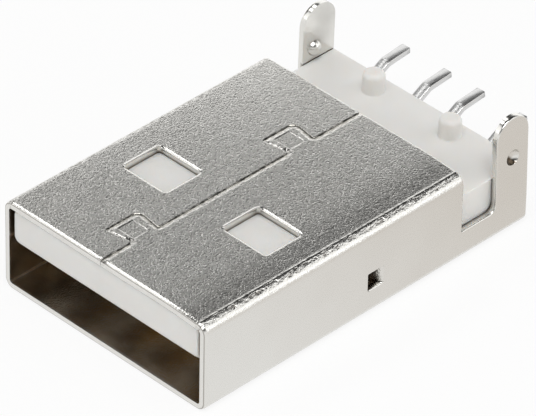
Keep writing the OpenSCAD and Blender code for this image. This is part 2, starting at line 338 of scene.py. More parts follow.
@dataclass(frozen=True)
class MouldedPbt:
    """White PBT, injection moulded: matte, a little milky, with a faint spark-eroded texture and clouds."""

    colour: str = "#E2E1DE"
    cloud_colour: str = "#DDDBD7"
    cloud_mm: float = 2.5
    # Dim light in narrow gaps and in the lances' pockets
    shade_colour: str = "#5A4A38"
    shade_mm: float = 0.7
    shade_span: Point = (0.1, 0.5)
    roughness: float = 0.5
    ior: float = 1.55
    # Light that enters, spreads and comes out again, and how far each colour of it goes
    milkiness: float = 0.5
    depth_mm: float = 0.5
    depth_rgb: tuple[float, float, float] = (1.0, 0.8, 0.65)
    # The real spark-eroded texture is too fine to show, so it is drawn coarser
    texture_mm: float = 0.08
    texture_height_mm: float = 0.002

    def material(self) -> bpy.types.Material:
        """Builds the insulator's material.

        Returns:
            The material.
        """
        material, tree = new_material("moulded white PBT")
        place = add_node(tree, "ShaderNodeTexCoord").outputs["Object"]
        cloud = add_noise(tree, place, self.cloud_mm, detail=3.0)
        colour = add_blend(tree, cloud, self.cloud_colour, self.colour)
        lit = add_openness(tree, self.shade_mm, self.shade_span)
        # Painted shade in the marked pockets, on top of that in narrow gaps
        unshaded = add_math(tree, "SUBTRACT", lit, add_attribute(tree, "pocket"), clamp=True)
        shaded = add_blend(tree, unshaded, self.shade_colour, colour)
        spark = add_noise(tree, place, self.texture_mm, detail=2.0)
        bump = add_node(tree, "ShaderNodeBump", Height=spark, Distance=self.texture_height_mm * MM)
        shader = add_node(
            tree, "ShaderNodeBsdfPrincipled", Base_Color=shaded, Roughness=self.roughness, IOR=self.ior,
            Subsurface_Weight=self.milkiness, Subsurface_Radius=self.depth_rgb,
            Subsurface_Scale=self.depth_mm * MM, Normal=bump.outputs["Normal"])
        add_node(tree, "ShaderNodeOutputMaterial", Surface=shader.outputs["BSDF"])
        return material


@dataclass(frozen=True)
class PlatedStrip:
    """Rolled copper alloy strip: tin on the tails, a gold flash on the blades, drawn lines along it."""

    tin: str = "#D2D2D1"
    gold: str = "#D9B36C"
    gold_past: float = 1.0
    change_mm: float = 0.6
    roughness: float = 0.31
    roughness_spread: float = 0.05
    # The real drawn lines are too fine to show, so they are drawn coarser
    line_mm: float = 0.05
    line_along: float = 0.08
    line_span: Point = (0.3, 0.7)
    line_height_mm: float = 0.0006

    def material(self, hollow_end: float) -> bpy.types.Material:
        """Builds the contacts' material.

        Args:
            hollow_end: place along Y where the hollow ends, in millimetres. The gold goes a little past it.

        Returns:
            The material.
        """
        material, tree = new_material("tin and gold plated strip")
        place = add_node(tree, "ShaderNodeTexCoord").outputs["Object"]
        along = add_node(tree, "ShaderNodeSeparateXYZ", Vector=place).outputs["Y"]
        gold_end = hollow_end + self.gold_past
        plating = add_range(tree, along, ((gold_end - self.change_mm) * MM, gold_end * MM))
        colour = add_blend(tree, plating, self.gold, self.tin)
        drawn = add_node(tree, "ShaderNodeMapping", Vector=place, Scale=(1.0, self.line_along, 1.0))
        lines = add_noise(tree, drawn.outputs["Vector"], self.line_mm, detail=2.0)
        bump = add_node(tree, "ShaderNodeBump", Height=lines, Distance=self.line_height_mm * MM)
        satin = add_range(
            tree, lines, self.line_span, self.roughness - self.roughness_spread,
            self.roughness + self.roughness_spread)
        shader = add_node(
            tree, "ShaderNodeBsdfPrincipled", Base_Color=colour, Metallic=1.0, Roughness=satin,
            Normal=bump.outputs["Normal"])
        add_node(tree, "ShaderNodeOutputMaterial", Surface=shader.outputs["BSDF"])
        return material


def dress(piece: bpy.types.Object, material: bpy.types.Material, slot: Slot, *nodes: str) -> None:
    """Gives a finished piece its material and its body, and hides and logs the CAD nodes that it stands for.

    Args:
        piece: finished object, at the origin.
        material: its finish.
        slot: the record's material slot. It is not used.
        *nodes: CAD nodes that it stands for.
    """
    piece.data.materials.clear()
    piece.data.materials.append(material)
    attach(piece, BODY)
    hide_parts(*nodes)
    LOG.info("%s: %d faces, stands for %s", piece.name, len(piece.data.polygons), ", ".join(nodes))


def new_object(name: str, mesh: bpy.types.Mesh) -> bpy.types.Object:
    """Puts a mesh into the scene.

    Args:
        name: name of the new object.
        mesh: its mesh.

    Returns:
        The object, at the origin.
    """
    piece = bpy.data.objects.new(name, mesh)
    bpy.context.scene.collection.objects.link(piece)
    return piece


def solid_object(name: str, mesh: bmesh.types.BMesh) -> bpy.types.Object:
    """Turns a finished bmesh into an object at the origin, and frees it.

    Args:
        name: name of the object and its mesh.
        mesh: the finished bmesh.

    Returns:
        The object.
    """
    data = bpy.data.meshes.new(name)
    mesh.to_mesh(data)
    mesh.free()
    return new_object(name, data)


def loft(mesh: bmesh.types.BMesh, rings: Sequence[Sequence[Vector]]) -> None:
    """Joins rings of points into a closed skin.

    Args:
        mesh: bmesh that the skin goes into.
        rings: the rings in order, each with as many points.
    """
    made = [[mesh.verts.new(point) for point in ring] for ring in rings]
    for a, b in zip(made, made[1:]):
        for i in range(len(a)):
            j = (i + 1) % len(a)
            mesh.faces.new((a[i], a[j], b[j], b[i]))
    mesh.faces.new(made[0][::-1])
    mesh.faces.new(made[-1])
    bmesh.ops.recalc_face_normals(mesh, faces=mesh.faces)


def add_values(mesh: bpy.types.Mesh, name: str, domain: str, values: Sequence[float]) -> None:
    """Gives a mesh an attribute of plain numbers, for its material or its node tree to read."""
    attribute = mesh.attributes.new(name, "FLOAT", domain)
    attribute.data.foreach_set("value", np.asarray(values, np.float32))


def round_corners(corners: Sequence[tuple[float, float, float]], step: float = 15.0) -> list[Point]:
    """Rounds the inner corners of an open path.

    Args:
        corners: points as (x, y, radius). The radius of the two ends isn't used.
        step: largest turn between two points of an arc, in degrees.

    Returns:
        Points of the rounded path.
    """
    path: list[Point] = [corners[0][:2]]
    for before, here, after in zip(corners, corners[1:], corners[2:]):
        corner, radius = np.array(here[:2]), here[2]
        to_start, to_end = (np.array(p[:2]) - corner for p in (before, after))
        to_start, to_end = to_start / np.linalg.norm(to_start), to_end / np.linalg.norm(to_end)
        half = math.acos(float(np.clip(to_start @ to_end, -1, 1))) / 2
        if radius <= 0 or half > math.pi / 2 - TINY:
            path.append(tuple(corner))
            continue
        middle = (to_start + to_end) / np.linalg.norm(to_start + to_end)
        centre = corner + middle * radius / math.sin(half)
        start = corner + to_start * radius / math.tan(half) - centre
        end = corner + to_end * radius / math.tan(half) - centre
        count = max(2, math.ceil(math.degrees(math.pi - 2 * half) / step))
        turn = math.atan2(start[0] * end[1] - start[1] * end[0], float(start @ end))
        for i in range(count + 1):
            c, s = math.cos(turn * i / count), math.sin(turn * i / count)
            path.append((centre[0] + c * start[0] - s * start[1], centre[1] + s * start[0] + c * start[1]))
    path.append(corners[-1][:2])
    return path


def resampled(path: Sequence[Point], spacing: float) -> list[Point]:
    """Splits the long segments of a path.

    Args:
        path: points of the path.
        spacing: longest segment that stays whole.

    Returns:
        The path with every longer segment in equal parts.
    """
    out: list[Point] = [tuple(path[0])]
    for a, b in zip(path, path[1:]):
        count = max(1, math.ceil(math.dist(a, b) / spacing - TINY))
        for i in range(1, count + 1):
            out.append((a[0] + (b[0] - a[0]) * i / count, a[1] + (b[1] - a[1]) * i / count))
    return out


def distances(points: np.ndarray, path: np.ndarray) -> np.ndarray:
    """Distance of each point to an open path.

    Args:
        points: array of n points.
        path: array of m points that make the path.

    Returns:
        Array of n distances.
    """
    best = np.full(len(points), np.inf)
    for a, b in zip(path, path[1:]):
        along = b - a
        share = np.clip(((points - a) @ along) / max(along @ along, TINY ** 2), 0, 1)
        gap = points - a - share[:, None] * along
        best = np.minimum(best, np.einsum("ij,ij->i", gap, gap))
    return np.sqrt(best)


def inside_loops(points: np.ndarray, loops: Sequence[np.ndarray]) -> np.ndarray:
    """Tells which points lie inside an odd number of closed loops.

    Args:
        points: array of n points.
        loops: the loops, each as an array of its points.

    Returns:
        Array of n truth values.
    """
    odd = np.zeros(len(points), bool)
    for loop in loops:
        for a, b in zip(loop, np.roll(loop, -1, axis=0)):
            if a[1] == b[1]:
                continue
            spans = (a[1] > points[:, 1]) != (b[1] > points[:, 1])
            crossing = a[0] + (points[:, 1] - a[1]) * (b[0] - a[0]) / (b[1] - a[1])
            odd ^= spans & (points[:, 0] < crossing)
    return odd


@dataclass(frozen=True)
class Roll:
    """Shape that the punch leaves on the outer face along a cut: a wide shoulder that ends in a round nose.

    The shoulder has a width and a height, and the nose a radius. The skin can be ragged, the lower part of
    the cut darkened as painted shade over its dull torn zone, and a dark line of painted shade can run along
    the nose, each from 0 up.
    """

    width: float
    height: float
    nose: float = 0.0
    ragged: float = 0.0
    torn_shade: float = 0.0
    line: float = 0.0

    NOSE_ROWS = (0.32, 0.7)
    SHOULDER_ROWS = 4
    LAST_ROW = 0.03
    RAGGED_REACH = 1.3
    BURNISH_EASE = 0.3
    LINE_REACH = 0.8

    def rows(self) -> list[float]:
        """Distances from the edge at which the shoulder and its nose have rows of points."""
        nose = [self.nose * share for share in self.NOSE_ROWS if self.nose]
        shoulder = [self.width * i / self.SHOULDER_ROWS for i in range(1, self.SHOULDER_ROWS + 1)]
        return [*nose, *shoulder, self.width + self.LAST_ROW]

    def depth(self, gap: np.ndarray) -> np.ndarray:
        """Works out the depth of the shoulder and its nose.

        Args:
            gap: distances from the edge.

        Returns:
            Depth at each of them.
        """
        share = np.clip((self.width - gap) / self.width, 0, 1)
        depth = self.height * share ** ROLL_POWER
        if self.nose:
            depth += self.nose * (1 - np.sqrt(1 - np.clip(1 - gap / self.nose, 0, 1) ** 2))
        return depth

    def strain(self, gap: np.ndarray) -> np.ndarray:
        """How ragged the shoulder's skin is at each distance from the edge, from 0 to 1."""
        return self.ragged * np.clip(self.RAGGED_REACH - gap / self.width, 0, 1)

    def burnish(self, gap: np.ndarray) -> np.ndarray:
        """How smooth the punch has rubbed the shoulder at each distance from the edge, from 0 to 1."""
        return np.clip((1 - gap / self.width) / self.BURNISH_EASE, 0, 1)

    def nose_shade(self, gap: np.ndarray) -> np.ndarray:
        """How dark the painted shade of the line on the nose is at each distance from the edge, from 0 to 1.
        """
        return self.line * np.clip(1 - gap / max(self.LINE_REACH * self.nose, TINY), 0, 1)


@dataclass(frozen=True)
class CutEdge:
    """One stretch of cut sheet edge, with its rolled shape."""

    path: np.ndarray
    roll: Roll
    fade_y: float = math.inf
    fade_l: float = 0.2

    def strength(self, flat: np.ndarray) -> np.ndarray:
        """How much of the roll is there at each point of the flat sheet, as it fades before fade_y."""
        return np.clip((self.fade_y - flat[:, 1]) / self.fade_l, 0, 1)


class PointPool:
    """Points of the flat sheet, each kept once, with the lines that a triangulation has to keep."""

    # Points that fall into the same cell of a grid this fine, in cells a millimetre, are one point
    GRID = 2000

    def __init__(self) -> None:
        """Starts an empty pool."""
        self.index: dict[tuple[int, int], int] = {}
        self.points: list[Point] = []
        self.lines: list[tuple[int, int]] = []

    def add(self, point: Point) -> int:
        """Adds a point, or finds the one that is already there.

        Args:
            point: place on the flat sheet.

        Returns:
            The point's number.
        """
        key = (round(point[0] * self.GRID), round(point[1] * self.GRID))
        if key not in self.index:
            self.index[key] = len(self.points)
            self.points.append((float(point[0]), float(point[1])))
        return self.index[key]

    def add_line(self, path: Iterable[Point]) -> None:
        """Adds a path whose segments have to stay edges of the mesh."""
        numbers = [self.add(p) for p in path]
        self.lines += [(a, b) for a, b in zip(numbers, numbers[1:]) if a != b]


@dataclass
class FoldedShell:
    """The shell: one sheet, cut flat, rolled at its edges and folded into a sleeve with a tray and two ears.

    In the flat sheet, s runs across it from the middle of the plain side, and y runs back from the mating
    front.
    """

    width: float
    length: float
    front_y: float
    height: float = 4.5
    rise: float = 1.36
    sheet: float = 0.3
    bend_r: float = 0.45
    sleeve_l: float = 15.1
    # Latch windows, whose left edges in the top are turned up over a range of angles round the window
    window_w: float = 2.5
    window_l: float = 2.05
    window_y: float = 5.18
    window_pitch: float = 5.94
    window_r: float = 0.15
    window_lip_h: float = 0.1
    lip_from: float = -60.0
    lip_to: float = 85.0
    lip_ease: float = 30.0
    # Seam, its locks and the marks staked on them
    seam_x: float = -0.16
    seam_gap: float = 0.022
    lock_front_y: float = 2.52
    lock_pitch: float = 9.08
    lock_depth: float = 1.37
    lock_head_w: float = 1.9
    lock_neck_w: float = 1.46
    lock_r: float = 0.1
    lock_rear_r: float = 0.34
    stake_w: float = 1.02
    stake_l: float = 0.92
    stake_depth: float = 0.02
    stake_in: float = 0.6
    stake_ahead: float = 0.1
    stake_slope: float = 0.05
    stake_rim: float = 0.02
    stake_crease: float = 0.98
    # Ears and the strips of wall that carry them
    seat_z: float = 3.05
    ear_l: float = 1.93
    ear_lean: float = 0.1
    ear_steps: int = 25
    strip_h: float = 1.47
    strip_r: float = 0.35
    # Dimples, with painted shade at one side of each dent and a painted crescent of shade over each bump
    dimple_z: float = 3.82
    dimple_left_z: float = 3.66
    dimple_left_ahead: float = 0.26
    dimple_d: float = 0.76
    dimple_depth: float = 0.24
    dimple_rings: tuple[float, ...] = (0.25, 0.5, 0.6, 0.7, 0.8, 0.9, 1.0)
    dimple_last_ring: float = 1.2
    dimple_steps: int = 36
    bump_d: float = 0.74
    bump_h: float = 0.28
    dent_shade_way: Point = (-0.7, -0.7)
    dent_shade_ease: float = 0.4
    dent_shade: float = 1.4
    crescent_way: Point = (0.85, 0.5)
    crescent_w: float = 0.2
    crescent_from: float = 0.95
    crescent_shade: float = 0.5
    # Lances
    lance_y: float = 9.49
    lance_l: float = 0.92
    lance_h: float = 0.84
    lance_z: float = 1.73
    lance_in: float = 0.7
    lance_cut: float = 0.02
    lance_short: float = 0.58
    lance_power: float = 1.5
    lance_rows: int = 9
    lance_steps: int = 5
    lance_past: float = 0.05
    lance_rings: tuple[float, ...] = (0.16, 0.3, 0.5)
    # Slope of the top next to its bends, in degrees, and the fine line that the tool leaves there
    crown_right: float = 6.0
    crown_left: float = 0.5
    crown_w: float = 2.2
    crown_rows: int = 8
    crown_step: float = 0.35
    crown_front: float = 0.4
    crown_rear: float = 0.2
    crown_clear: float = 0.1
    ridge_in: float = 0.04
    ridge_out: float = 0.15
    ridge_w: float = 0.12
    ridge_h: float = 0.038
    ridge_rows: int = 4
    # How strained the skin is: hatched over the top bends, less on the ridge, the foot bends and the top
    hatch_middle: float = 0.15
    hatch_w: float = 0.2
    hatch_peak: float = 1.5
    ridge_strain: float = 0.35
    foot_strain: float = 0.11
    foot_power: int = 4
    top_strain: float = 0.09
    # How smooth the walls and the inner face are rubbed, and how far down the cuts the punch rubs them
    wall_burnish: float = 0.5
    inner_burnish: float = 0.6
    burnished_share: float = 0.4
    # Where the painted shade inside the sleeve starts and ends
    inside_shade_front: float = 0.03
    inside_shade_front_ease: float = 0.1
    inside_shade_rear_ease: float = 0.3
    # Rolled edges
    front_roll: Roll = Roll(0.18, 0.045, 0.04, line=0.7)
    window_roll: Roll = Roll(0.15, 0.045, 0.04, torn_shade=1.0, line=0.3)
    rear_roll: Roll = Roll(0.08, 0.03, 0.03)
    ear_roll: Roll = Roll(0.1, 0.03, 0.04)
    notch_roll: Roll = Roll(0.1, 0.03, 0.04, torn_shade=0.8)
    tab_roll: Roll = Roll(0.26, 0.065, ragged=0.65)
    flank_roll: Roll = Roll(0.1, 0.025, 0.03, ragged=0.2)
    seam_roll: Roll = Roll(0.02, 0.004)
    lance_roll: Roll = Roll(0.06, 0.03, 0.04, torn_shade=2.0)
    # Fineness of the mesh
    spacing: float = 0.13
    bend_rows: int = 8
    bend_lead: float = 0.04
    fold_step: float = 0.6
    probe: float = 0.001
    ring_share: float = 0.97
    ring_clear: float = 0.012
    cut_near: float = 0.0001
    sharp_angle: float = 40.0

    def __post_init__(self) -> None:
        """Works out the places of the folds across the flat sheet."""
        self.flat = self.width / 2 - self.bend_r
        self.mid_r = self.bend_r - self.sheet / 2
        self.s_wall = self.flat + self.mid_r * math.pi / 2
        self.ear_y = self.length - self.ear_l / 2

    def crown(self, side: Side) -> float:
        """Slope, in radians, that the top keeps next to the bend of a side, before it levels out."""
        return math.radians(self.crown_right if side is Side.RIGHT else self.crown_left)

    def top_bend(self, side: Side) -> tuple[float, float]:
        """Finds the top bend of one half of the flat sheet.

        Args:
            side: which half.

        Returns:
            The places across that half where its bend starts and ends.
        """
        slope = self.crown(side)
        level = self.height - self.sheet / 2 - self.mid_r * math.cos(slope) - slope * self.crown_w / 2
        start = self.s_wall + level - self.bend_r
        return start, start + self.mid_r * (math.pi / 2 - slope)

    def s_on_wall(self, z: float) -> float:
        """Place across the flat sheet of a height on the right wall."""
        return self.s_wall + z - self.bend_r

    def s_on_top(self, x: float, side: Side) -> float:
        """Place across the flat sheet of a place across the top, on the half that belongs to a side."""
        end_x = self.width / 2 - self.sheet / 2 - self.mid_r * (1 - math.sin(self.crown(side)))
        return side.value * (self.top_bend(side)[1] + end_x - side.value * x)

    def seam(self, off: float) -> list[tuple[float, float, float]]:
        """Outlines one edge of the seam.

        Args:
            off: distance that the edge is moved away from the locking tabs.

        Returns:
            Corners as (x, y, radius).
        """
        slope = (self.lock_head_w - self.lock_neck_w) / 2 / self.lock_depth
        grow = off * (slope + math.sqrt(1 + slope * slope))
        neck, head = self.lock_neck_w / 2 + grow, self.lock_head_w / 2 + grow
        x, deep = self.seam_x - off, self.seam_x - self.lock_depth - off
        corners = [(x, 0.0, 0.0)]
        for y in (self.lock_front_y, self.lock_front_y + self.lock_pitch):
            corners += [
                (x, y - neck, self.lock_r + self.seam_gap - off),
                (deep, y - head, self.lock_r + off),
                (deep, y + head, self.lock_rear_r + off),
                (x, y + neck, self.lock_r + self.seam_gap - off),
            ]
        return corners + [(x, self.sleeve_l, 0.0)]

    def bend_lines(self, side: Side) -> dict[bool, list[float]]:
        """Places across one half of the flat sheet where it needs lines to bend along.

        Args:
            side: which half.

        Returns:
            The lines of the bottom bend under False, and those of the top bend and its ridge under True.
        """
        lines = {}
        for top, (start, end) in ((False, (self.flat, self.s_wall)), (True, self.top_bend(side))):
            bend = [start + (end - start) * i / self.bend_rows for i in range(self.bend_rows + 1)]
            crest = end + self.ridge_in
            ridge = [crest + self.ridge_w * i / self.ridge_rows for i in range(self.ridge_rows + 2)]
            lines[top] = [start - self.bend_lead, *bend, end + self.ridge_in / 2, *ridge]
        return lines

    def crown_lines(self, side: Side) -> list[float]:
        """Places across one half of the flat sheet, where its top slopes down to the bend."""
        end = self.top_bend(side)[1]
        return [end + self.crown_w * i / self.crown_rows for i in range(1, self.crown_rows + 1)]

    def fold_lines(self, side: Side, low: float, high: float) -> list[float]:
        """Finds where an edge across the sheet needs points, so that it can follow the folds.

        Args:
            side: which half of the sheet.
            low: place across that half where the edge starts.
            high: place where it ends.

        Returns:
            Places from low to high.
        """
        lines = self.bend_lines(side)
        rows = {low, high, *lines[False], *lines[True], *self.crown_lines(side)}
        inner = sorted(r for r in rows if low - ROUNDING <= r <= high + ROUNDING)
        return [p[0] for p in resampled([(r, 0.0) for r in inner], self.spacing * 2)]

    def ear_edges(self) -> tuple[list[Point], list[Point]]:
        """Outlines the right half behind the sleeve.

        Returns:
            The edge of the notch up to the board seat, and the edge from there over the ear to the plain
            side.
        """
        front, top, r = self.length - self.ear_l, self.height + self.rise, self.ear_l / 2
        strip, round_z = self.s_on_wall(self.strip_h), self.s_on_wall(top - r)
        notch = round_corners([
            (strip, self.sleeve_l, 0.0), (strip, front, self.strip_r),
            (self.s_on_wall(self.seat_z), front, 0.0)])
        arc = [
            (round_z + r * math.sin(a), self.ear_y - r * math.cos(a))
            for a in np.linspace(0, math.pi, self.ear_steps)]
        return notch, [notch[-1], *arc, (self.s_wall, self.length)]

    def half_edges(self, side: Side) -> list[CutEdge]:
        """Cut edges of one half of the sheet, from the middle of the front edge round to that of the rear.

        Args:
            side: which half. The right half carries the locking tabs.

        Returns:
            The edges in order, each with its own rolled shoulder.
        """
        tabs = side is Side.RIGHT
        seam = [
            (self.s_on_top(x, side), y)
            for x, y in round_corners(self.seam(0.0 if tabs else self.seam_gap))
        ]
        end = abs(seam[0][0])
        low = self.s_on_wall(self.strip_h)
        front = [(side.value * s, 0.0) for s in self.fold_lines(side, 0.0, end)]
        rear = [(side.value * s, self.sleeve_l) for s in self.fold_lines(side, low, end)][::-1]
        notch, ear = (
            np.array([(side.value * s, y) for s, y in resampled(path, self.spacing)])
            for path in self.ear_edges())
        tray = [(side.value * s, self.length) for s in self.fold_lines(side, 0.0, self.s_wall)][::-1]
        seam = np.array(resampled(seam, self.spacing))
        return [
            CutEdge(np.array(front), self.front_roll),
            *(self.tab_edges(seam) if tabs else [CutEdge(seam, self.seam_roll)]),
            CutEdge(np.array(rear), self.rear_roll),
            CutEdge(notch, self.notch_roll),
            CutEdge(ear, self.ear_roll),
            CutEdge(np.array(tray), self.rear_roll),
        ]

    def tab_edges(self, path: np.ndarray) -> list[CutEdge]:
        """Splits the seam edge with the tabs where their front flanks, which are rolled less, start and end.

        Args:
            path: points of the whole edge.

        Returns:
            The stretches of the edge in order.
        """
        s, y = path[:, 0], path[:, 1]
        tab = self.lock_front_y + self.lock_pitch * np.round((y - self.lock_front_y) / self.lock_pitch)
        flank = (s > s.min() + self.lock_r) & (s < s.max() - self.lock_r) & (y < tab)
        stops = [0, *(np.flatnonzero(np.diff(flank)) + 1), len(path) - 1]
        return [
            CutEdge(path[a:b + 1], self.flank_roll if flank[(a + b) // 2] else self.tab_roll)
            for a, b in zip(stops, stops[1:])]

    def window_lip(self, flat: np.ndarray) -> np.ndarray:
        """Turns up the left edge of each latch window in the top.

        Args:
            flat: array of (s, y).

        Returns:
            Height that the edge is turned up by at each point.
        """
        height = np.zeros(len(flat))
        r, width = self.window_r, self.window_roll.width
        for side in Side:
            s = flat[:, 0] - self.s_on_top(side.value * self.window_pitch / 2, side)
            y = flat[:, 1] - self.window_y - self.window_l / 2
            aside = np.clip(s - self.window_w / 2 + r, 0, None)
            behind = np.sign(y) * np.clip(np.abs(y) - self.window_l / 2 + r, 0, None)
            angle = np.degrees(np.arctan2(behind, np.maximum(aside, ROUNDING)))
            turned = np.clip((angle - self.lip_from) / self.lip_ease, 0, 1) * (aside > 0)
            turned *= np.clip((self.lip_to - angle) / self.lip_ease, 0, 1)
            near = np.clip((width - np.hypot(aside, behind) + r) / width, 0, 1)
            height += turned * self.window_lip_h * near ** ROLL_POWER
        return height

    def window(self, s: float) -> CutEdge:
        """Outlines one latch window.

        Args:
            s: place of its middle across the flat sheet.

        Returns:
            Its cut edge.
        """
        w, r, front, rear = self.window_w / 2, self.window_r, self.window_y, self.window_y + self.window_l
        path = round_corners([
            (s, front, 0.0), (s + w, front, r), (s + w, rear, r), (s - w, rear, r), (s - w, front, r),
            (s, front, 0.0)])
        return CutEdge(np.array(resampled(path, self.spacing)), self.window_roll)

    def lance_slit(self, side: Side) -> np.ndarray:
        """Outlines the slit that frees a lance on three sides.

        Args:
            side: which lance.

        Returns:
            Points of the closed outline.
        """
        s, h, c = self.s_on_wall(self.lance_z), self.lance_h / 2, self.lance_cut
        front, rear, tip = self.lance_y, self.lance_y + self.lance_l, self.lance_y + self.lance_short
        outline = [
            (s - h, rear), (s - h, front), (s + h, front), (s + h, rear),
            (s + h - c, rear), (s + h - c, tip), (s - h + c, tip), (s - h + c, rear)]
        closed = resampled(outline + outline[:1], self.spacing)[:-1]
        return np.array([(side.value * a, b) for a, b in closed])

    def lance_lip(self, side: Side) -> CutEdge:
        """Outlines the wall round a lance, on its three free sides.

        Args:
            side: which lance.

        Returns:
            The wall's cut edge.
        """
        s, h = self.s_on_wall(self.lance_z), self.lance_h / 2
        front, rear = self.lance_y, self.lance_y + self.lance_l
        path = resampled([(s - h, rear), (s - h, front), (s + h, front), (s + h, rear)], self.spacing)
        return CutEdge(np.array([(side.value * a, b) for a, b in path]), self.lance_roll, fade_y=rear)

    def stakes(self) -> list[tuple[float, float, float, float]]:
        """Places the staked marks on the locking tabs.

        Returns:
            Each mark as (lowest s, lowest y, highest s, highest y).
        """
        s = self.s_on_top(self.seam_x - self.stake_in, Side.RIGHT)
        w, h = self.stake_w / 2, self.stake_l / 2
        marks = []
        for y in (self.lock_front_y, self.lock_front_y + self.lock_pitch):
            middle = y - self.stake_ahead
            marks.append((s - w, middle - h, s + w, middle + h))
        return marks

    def fold(self, flat: np.ndarray) -> tuple[np.ndarray, np.ndarray, np.ndarray]:
        """Folds points of the flat sheet.

        Args:
            flat: array of (s, y).

        Returns:
            Points on the middle of the folded sheet, outward normals, and how much the skin is strained by
            a bend at each point, from 0 to 1.
        """
        s, y, left = np.abs(flat[:, 0]), flat[:, 1], flat[:, 0] < 0
        sign = np.where(left, -1.0, 1.0)
        slope = np.where(left, self.crown(Side.LEFT), self.crown(Side.RIGHT))
        start = np.where(left, self.top_bend(Side.LEFT)[0], self.top_bend(Side.RIGHT)[0])
        sleeve = y <= self.sleeve_l + TINY
        start = np.where(sleeve, start, np.inf)
        low = np.clip((s - self.flat) / self.mid_r, 0, math.pi / 2)
        high = np.clip((s - start) / self.mid_r, 0, math.pi / 2 - slope)
        climb = np.clip(np.minimum(s, start) - self.s_wall, 0, None)
        over = np.clip(s - start - self.mid_r * (math.pi / 2 - slope), 0, None)
        eased = np.minimum(over, self.crown_w)
        x = np.minimum(s, self.flat) + self.mid_r * np.sin(low) - self.mid_r * (1 - np.cos(high)) - over
        z = self.sheet / 2 + self.mid_r * (1 - np.cos(low)) + climb + self.mid_r * np.sin(high)
        z += slope * (eased - eased ** 2 / (2 * self.crown_w))
        turn = low + high + slope * eased / self.crown_w
        leaned = np.clip((z - self.strip_h) / (self.height + self.rise - self.strip_h), 0, 1)
        x -= np.where(sleeve, 0.0, self.ear_lean * leaned)
        place = np.stack([sign * x, y + self.front_y, z], 1)
        normal = np.stack([sign * np.sin(turn), np.zeros_like(x), -np.cos(turn)], 1)
        over_bend = 1 - high / (math.pi / 2 - slope)
        hatched = np.clip(self.hatch_peak - np.abs(over_bend - self.hatch_middle) / self.hatch_w, 0, 1)
        hatched = np.where(over > 0, self.top_strain, hatched)
        under_bend = low / (math.pi / 2)
        foot = self.foot_strain * (1 - np.abs(2 * under_bend - 1) ** self.foot_power)
        return place, normal, np.maximum(np.where(high > 0, hatched, 0.0), foot)

    def pressed(self, flat: np.ndarray) -> np.ndarray:
        """Presses the lances in.

        Args:
            flat: array of (s, y).

        Returns:
            Distance that the whole sheet is pressed in at each point.
        """
        h = self.lance_h / 2 - self.lance_cut / 2
        beside = np.abs(np.abs(flat[:, 0]) - self.s_on_wall(self.lance_z)) < h
        length = self.lance_l - self.lance_short
        share = np.clip((self.lance_y + self.lance_l - flat[:, 1]) / length, 0, 1)
        ahead = flat[:, 1] > self.lance_y + self.lance_short / 2
        return np.where(beside & ahead, share ** self.lance_power * self.lance_in, 0.0)

    def dimple(self, side: Side) -> Point:
        """Finds the middle of a dimple.

        Args:
            side: which ear.

        Returns:
            The place on the flat sheet.
        """
        if side is Side.RIGHT:
            return self.s_on_wall(self.dimple_z), self.ear_y
        return -self.s_on_wall(self.dimple_left_z), self.ear_y - self.dimple_left_ahead

    def dimples(self, flat: np.ndarray) -> tuple[np.ndarray, np.ndarray, np.ndarray, np.ndarray]:
        """Dimples in the ears: a round dent in the outer face, which raises a round bump inside.

        Args:
            flat: array of (s, y).

        Returns:
            Arrays of the dent's depth, the bump's height, and how much painted shade lies in the dent and on
            the face round the bump.
        """
        off = np.full((len(flat), 2), np.inf)
        for side in Side:
            from_here = (flat - self.dimple(side)) * (side.value, 1.0)
            nearer = np.hypot(*from_here.T) < np.hypot(*off.T)
            off = np.where(nearer[:, None], from_here, off)
        gap = np.hypot(*off.T)
        caps = []
        for r, h in ((self.dimple_d / 2, self.dimple_depth), (self.bump_d / 2, self.bump_h)):
            ball = (r * r + h * h) / (2 * h)
            caps.append(np.sqrt(np.clip(ball ** 2 - np.minimum(gap, r) ** 2, 0, None)) - (ball - h))
        # Painted shade down one side of each dent, and a painted crescent of shade over each bump
        aside = (off @ self.dent_shade_way) / (self.dimple_d / 2)
        shade_out = self.dent_shade * np.clip(aside / self.dent_shade_ease, 0, 1) * (caps[0] > TINY)
        bump_r = self.bump_d / 2
        above = (off @ self.crescent_way) / np.maximum(gap, TINY)
        crescent = np.clip(1 - (gap - bump_r) / self.crescent_w, 0, 1) * np.clip(above, 0, 1)
        shade_in = self.crescent_shade * crescent * (gap > self.crescent_from * bump_r)
        return *caps, shade_out, shade_in

    def ridge(self, flat: np.ndarray) -> np.ndarray:
        """Raises the fine line that the bending tool leaves along the top, next to the right bend.

        Args:
            flat: array of (s, y).

        Returns:
            Height of the line at each point.
        """
        off = flat[:, 0] - self.top_bend(Side.RIGHT)[1] - self.ridge_in
        share = np.clip(1 - np.where(off < 0, -off / self.ridge_out, off / self.ridge_w), 0, 1)
        return np.where(flat[:, 1] <= self.sleeve_l + TINY, self.ridge_h * share, 0.0)

    def staked(self, flat: np.ndarray) -> np.ndarray:
        """Presses the staked marks in.

        Args:
            flat: array of (s, y).

        Returns:
            Depth of the marks at each point.
        """
        depth = np.zeros(len(flat))
        for s0, y0, s1, y1 in self.stakes():
            inward = np.minimum.reduce([flat[:, 0] - s0, s1 - flat[:, 0], flat[:, 1] - y0, y1 - flat[:, 1]])
            depth += np.clip(inward / self.stake_slope, 0, 1) * self.stake_depth
        return depth

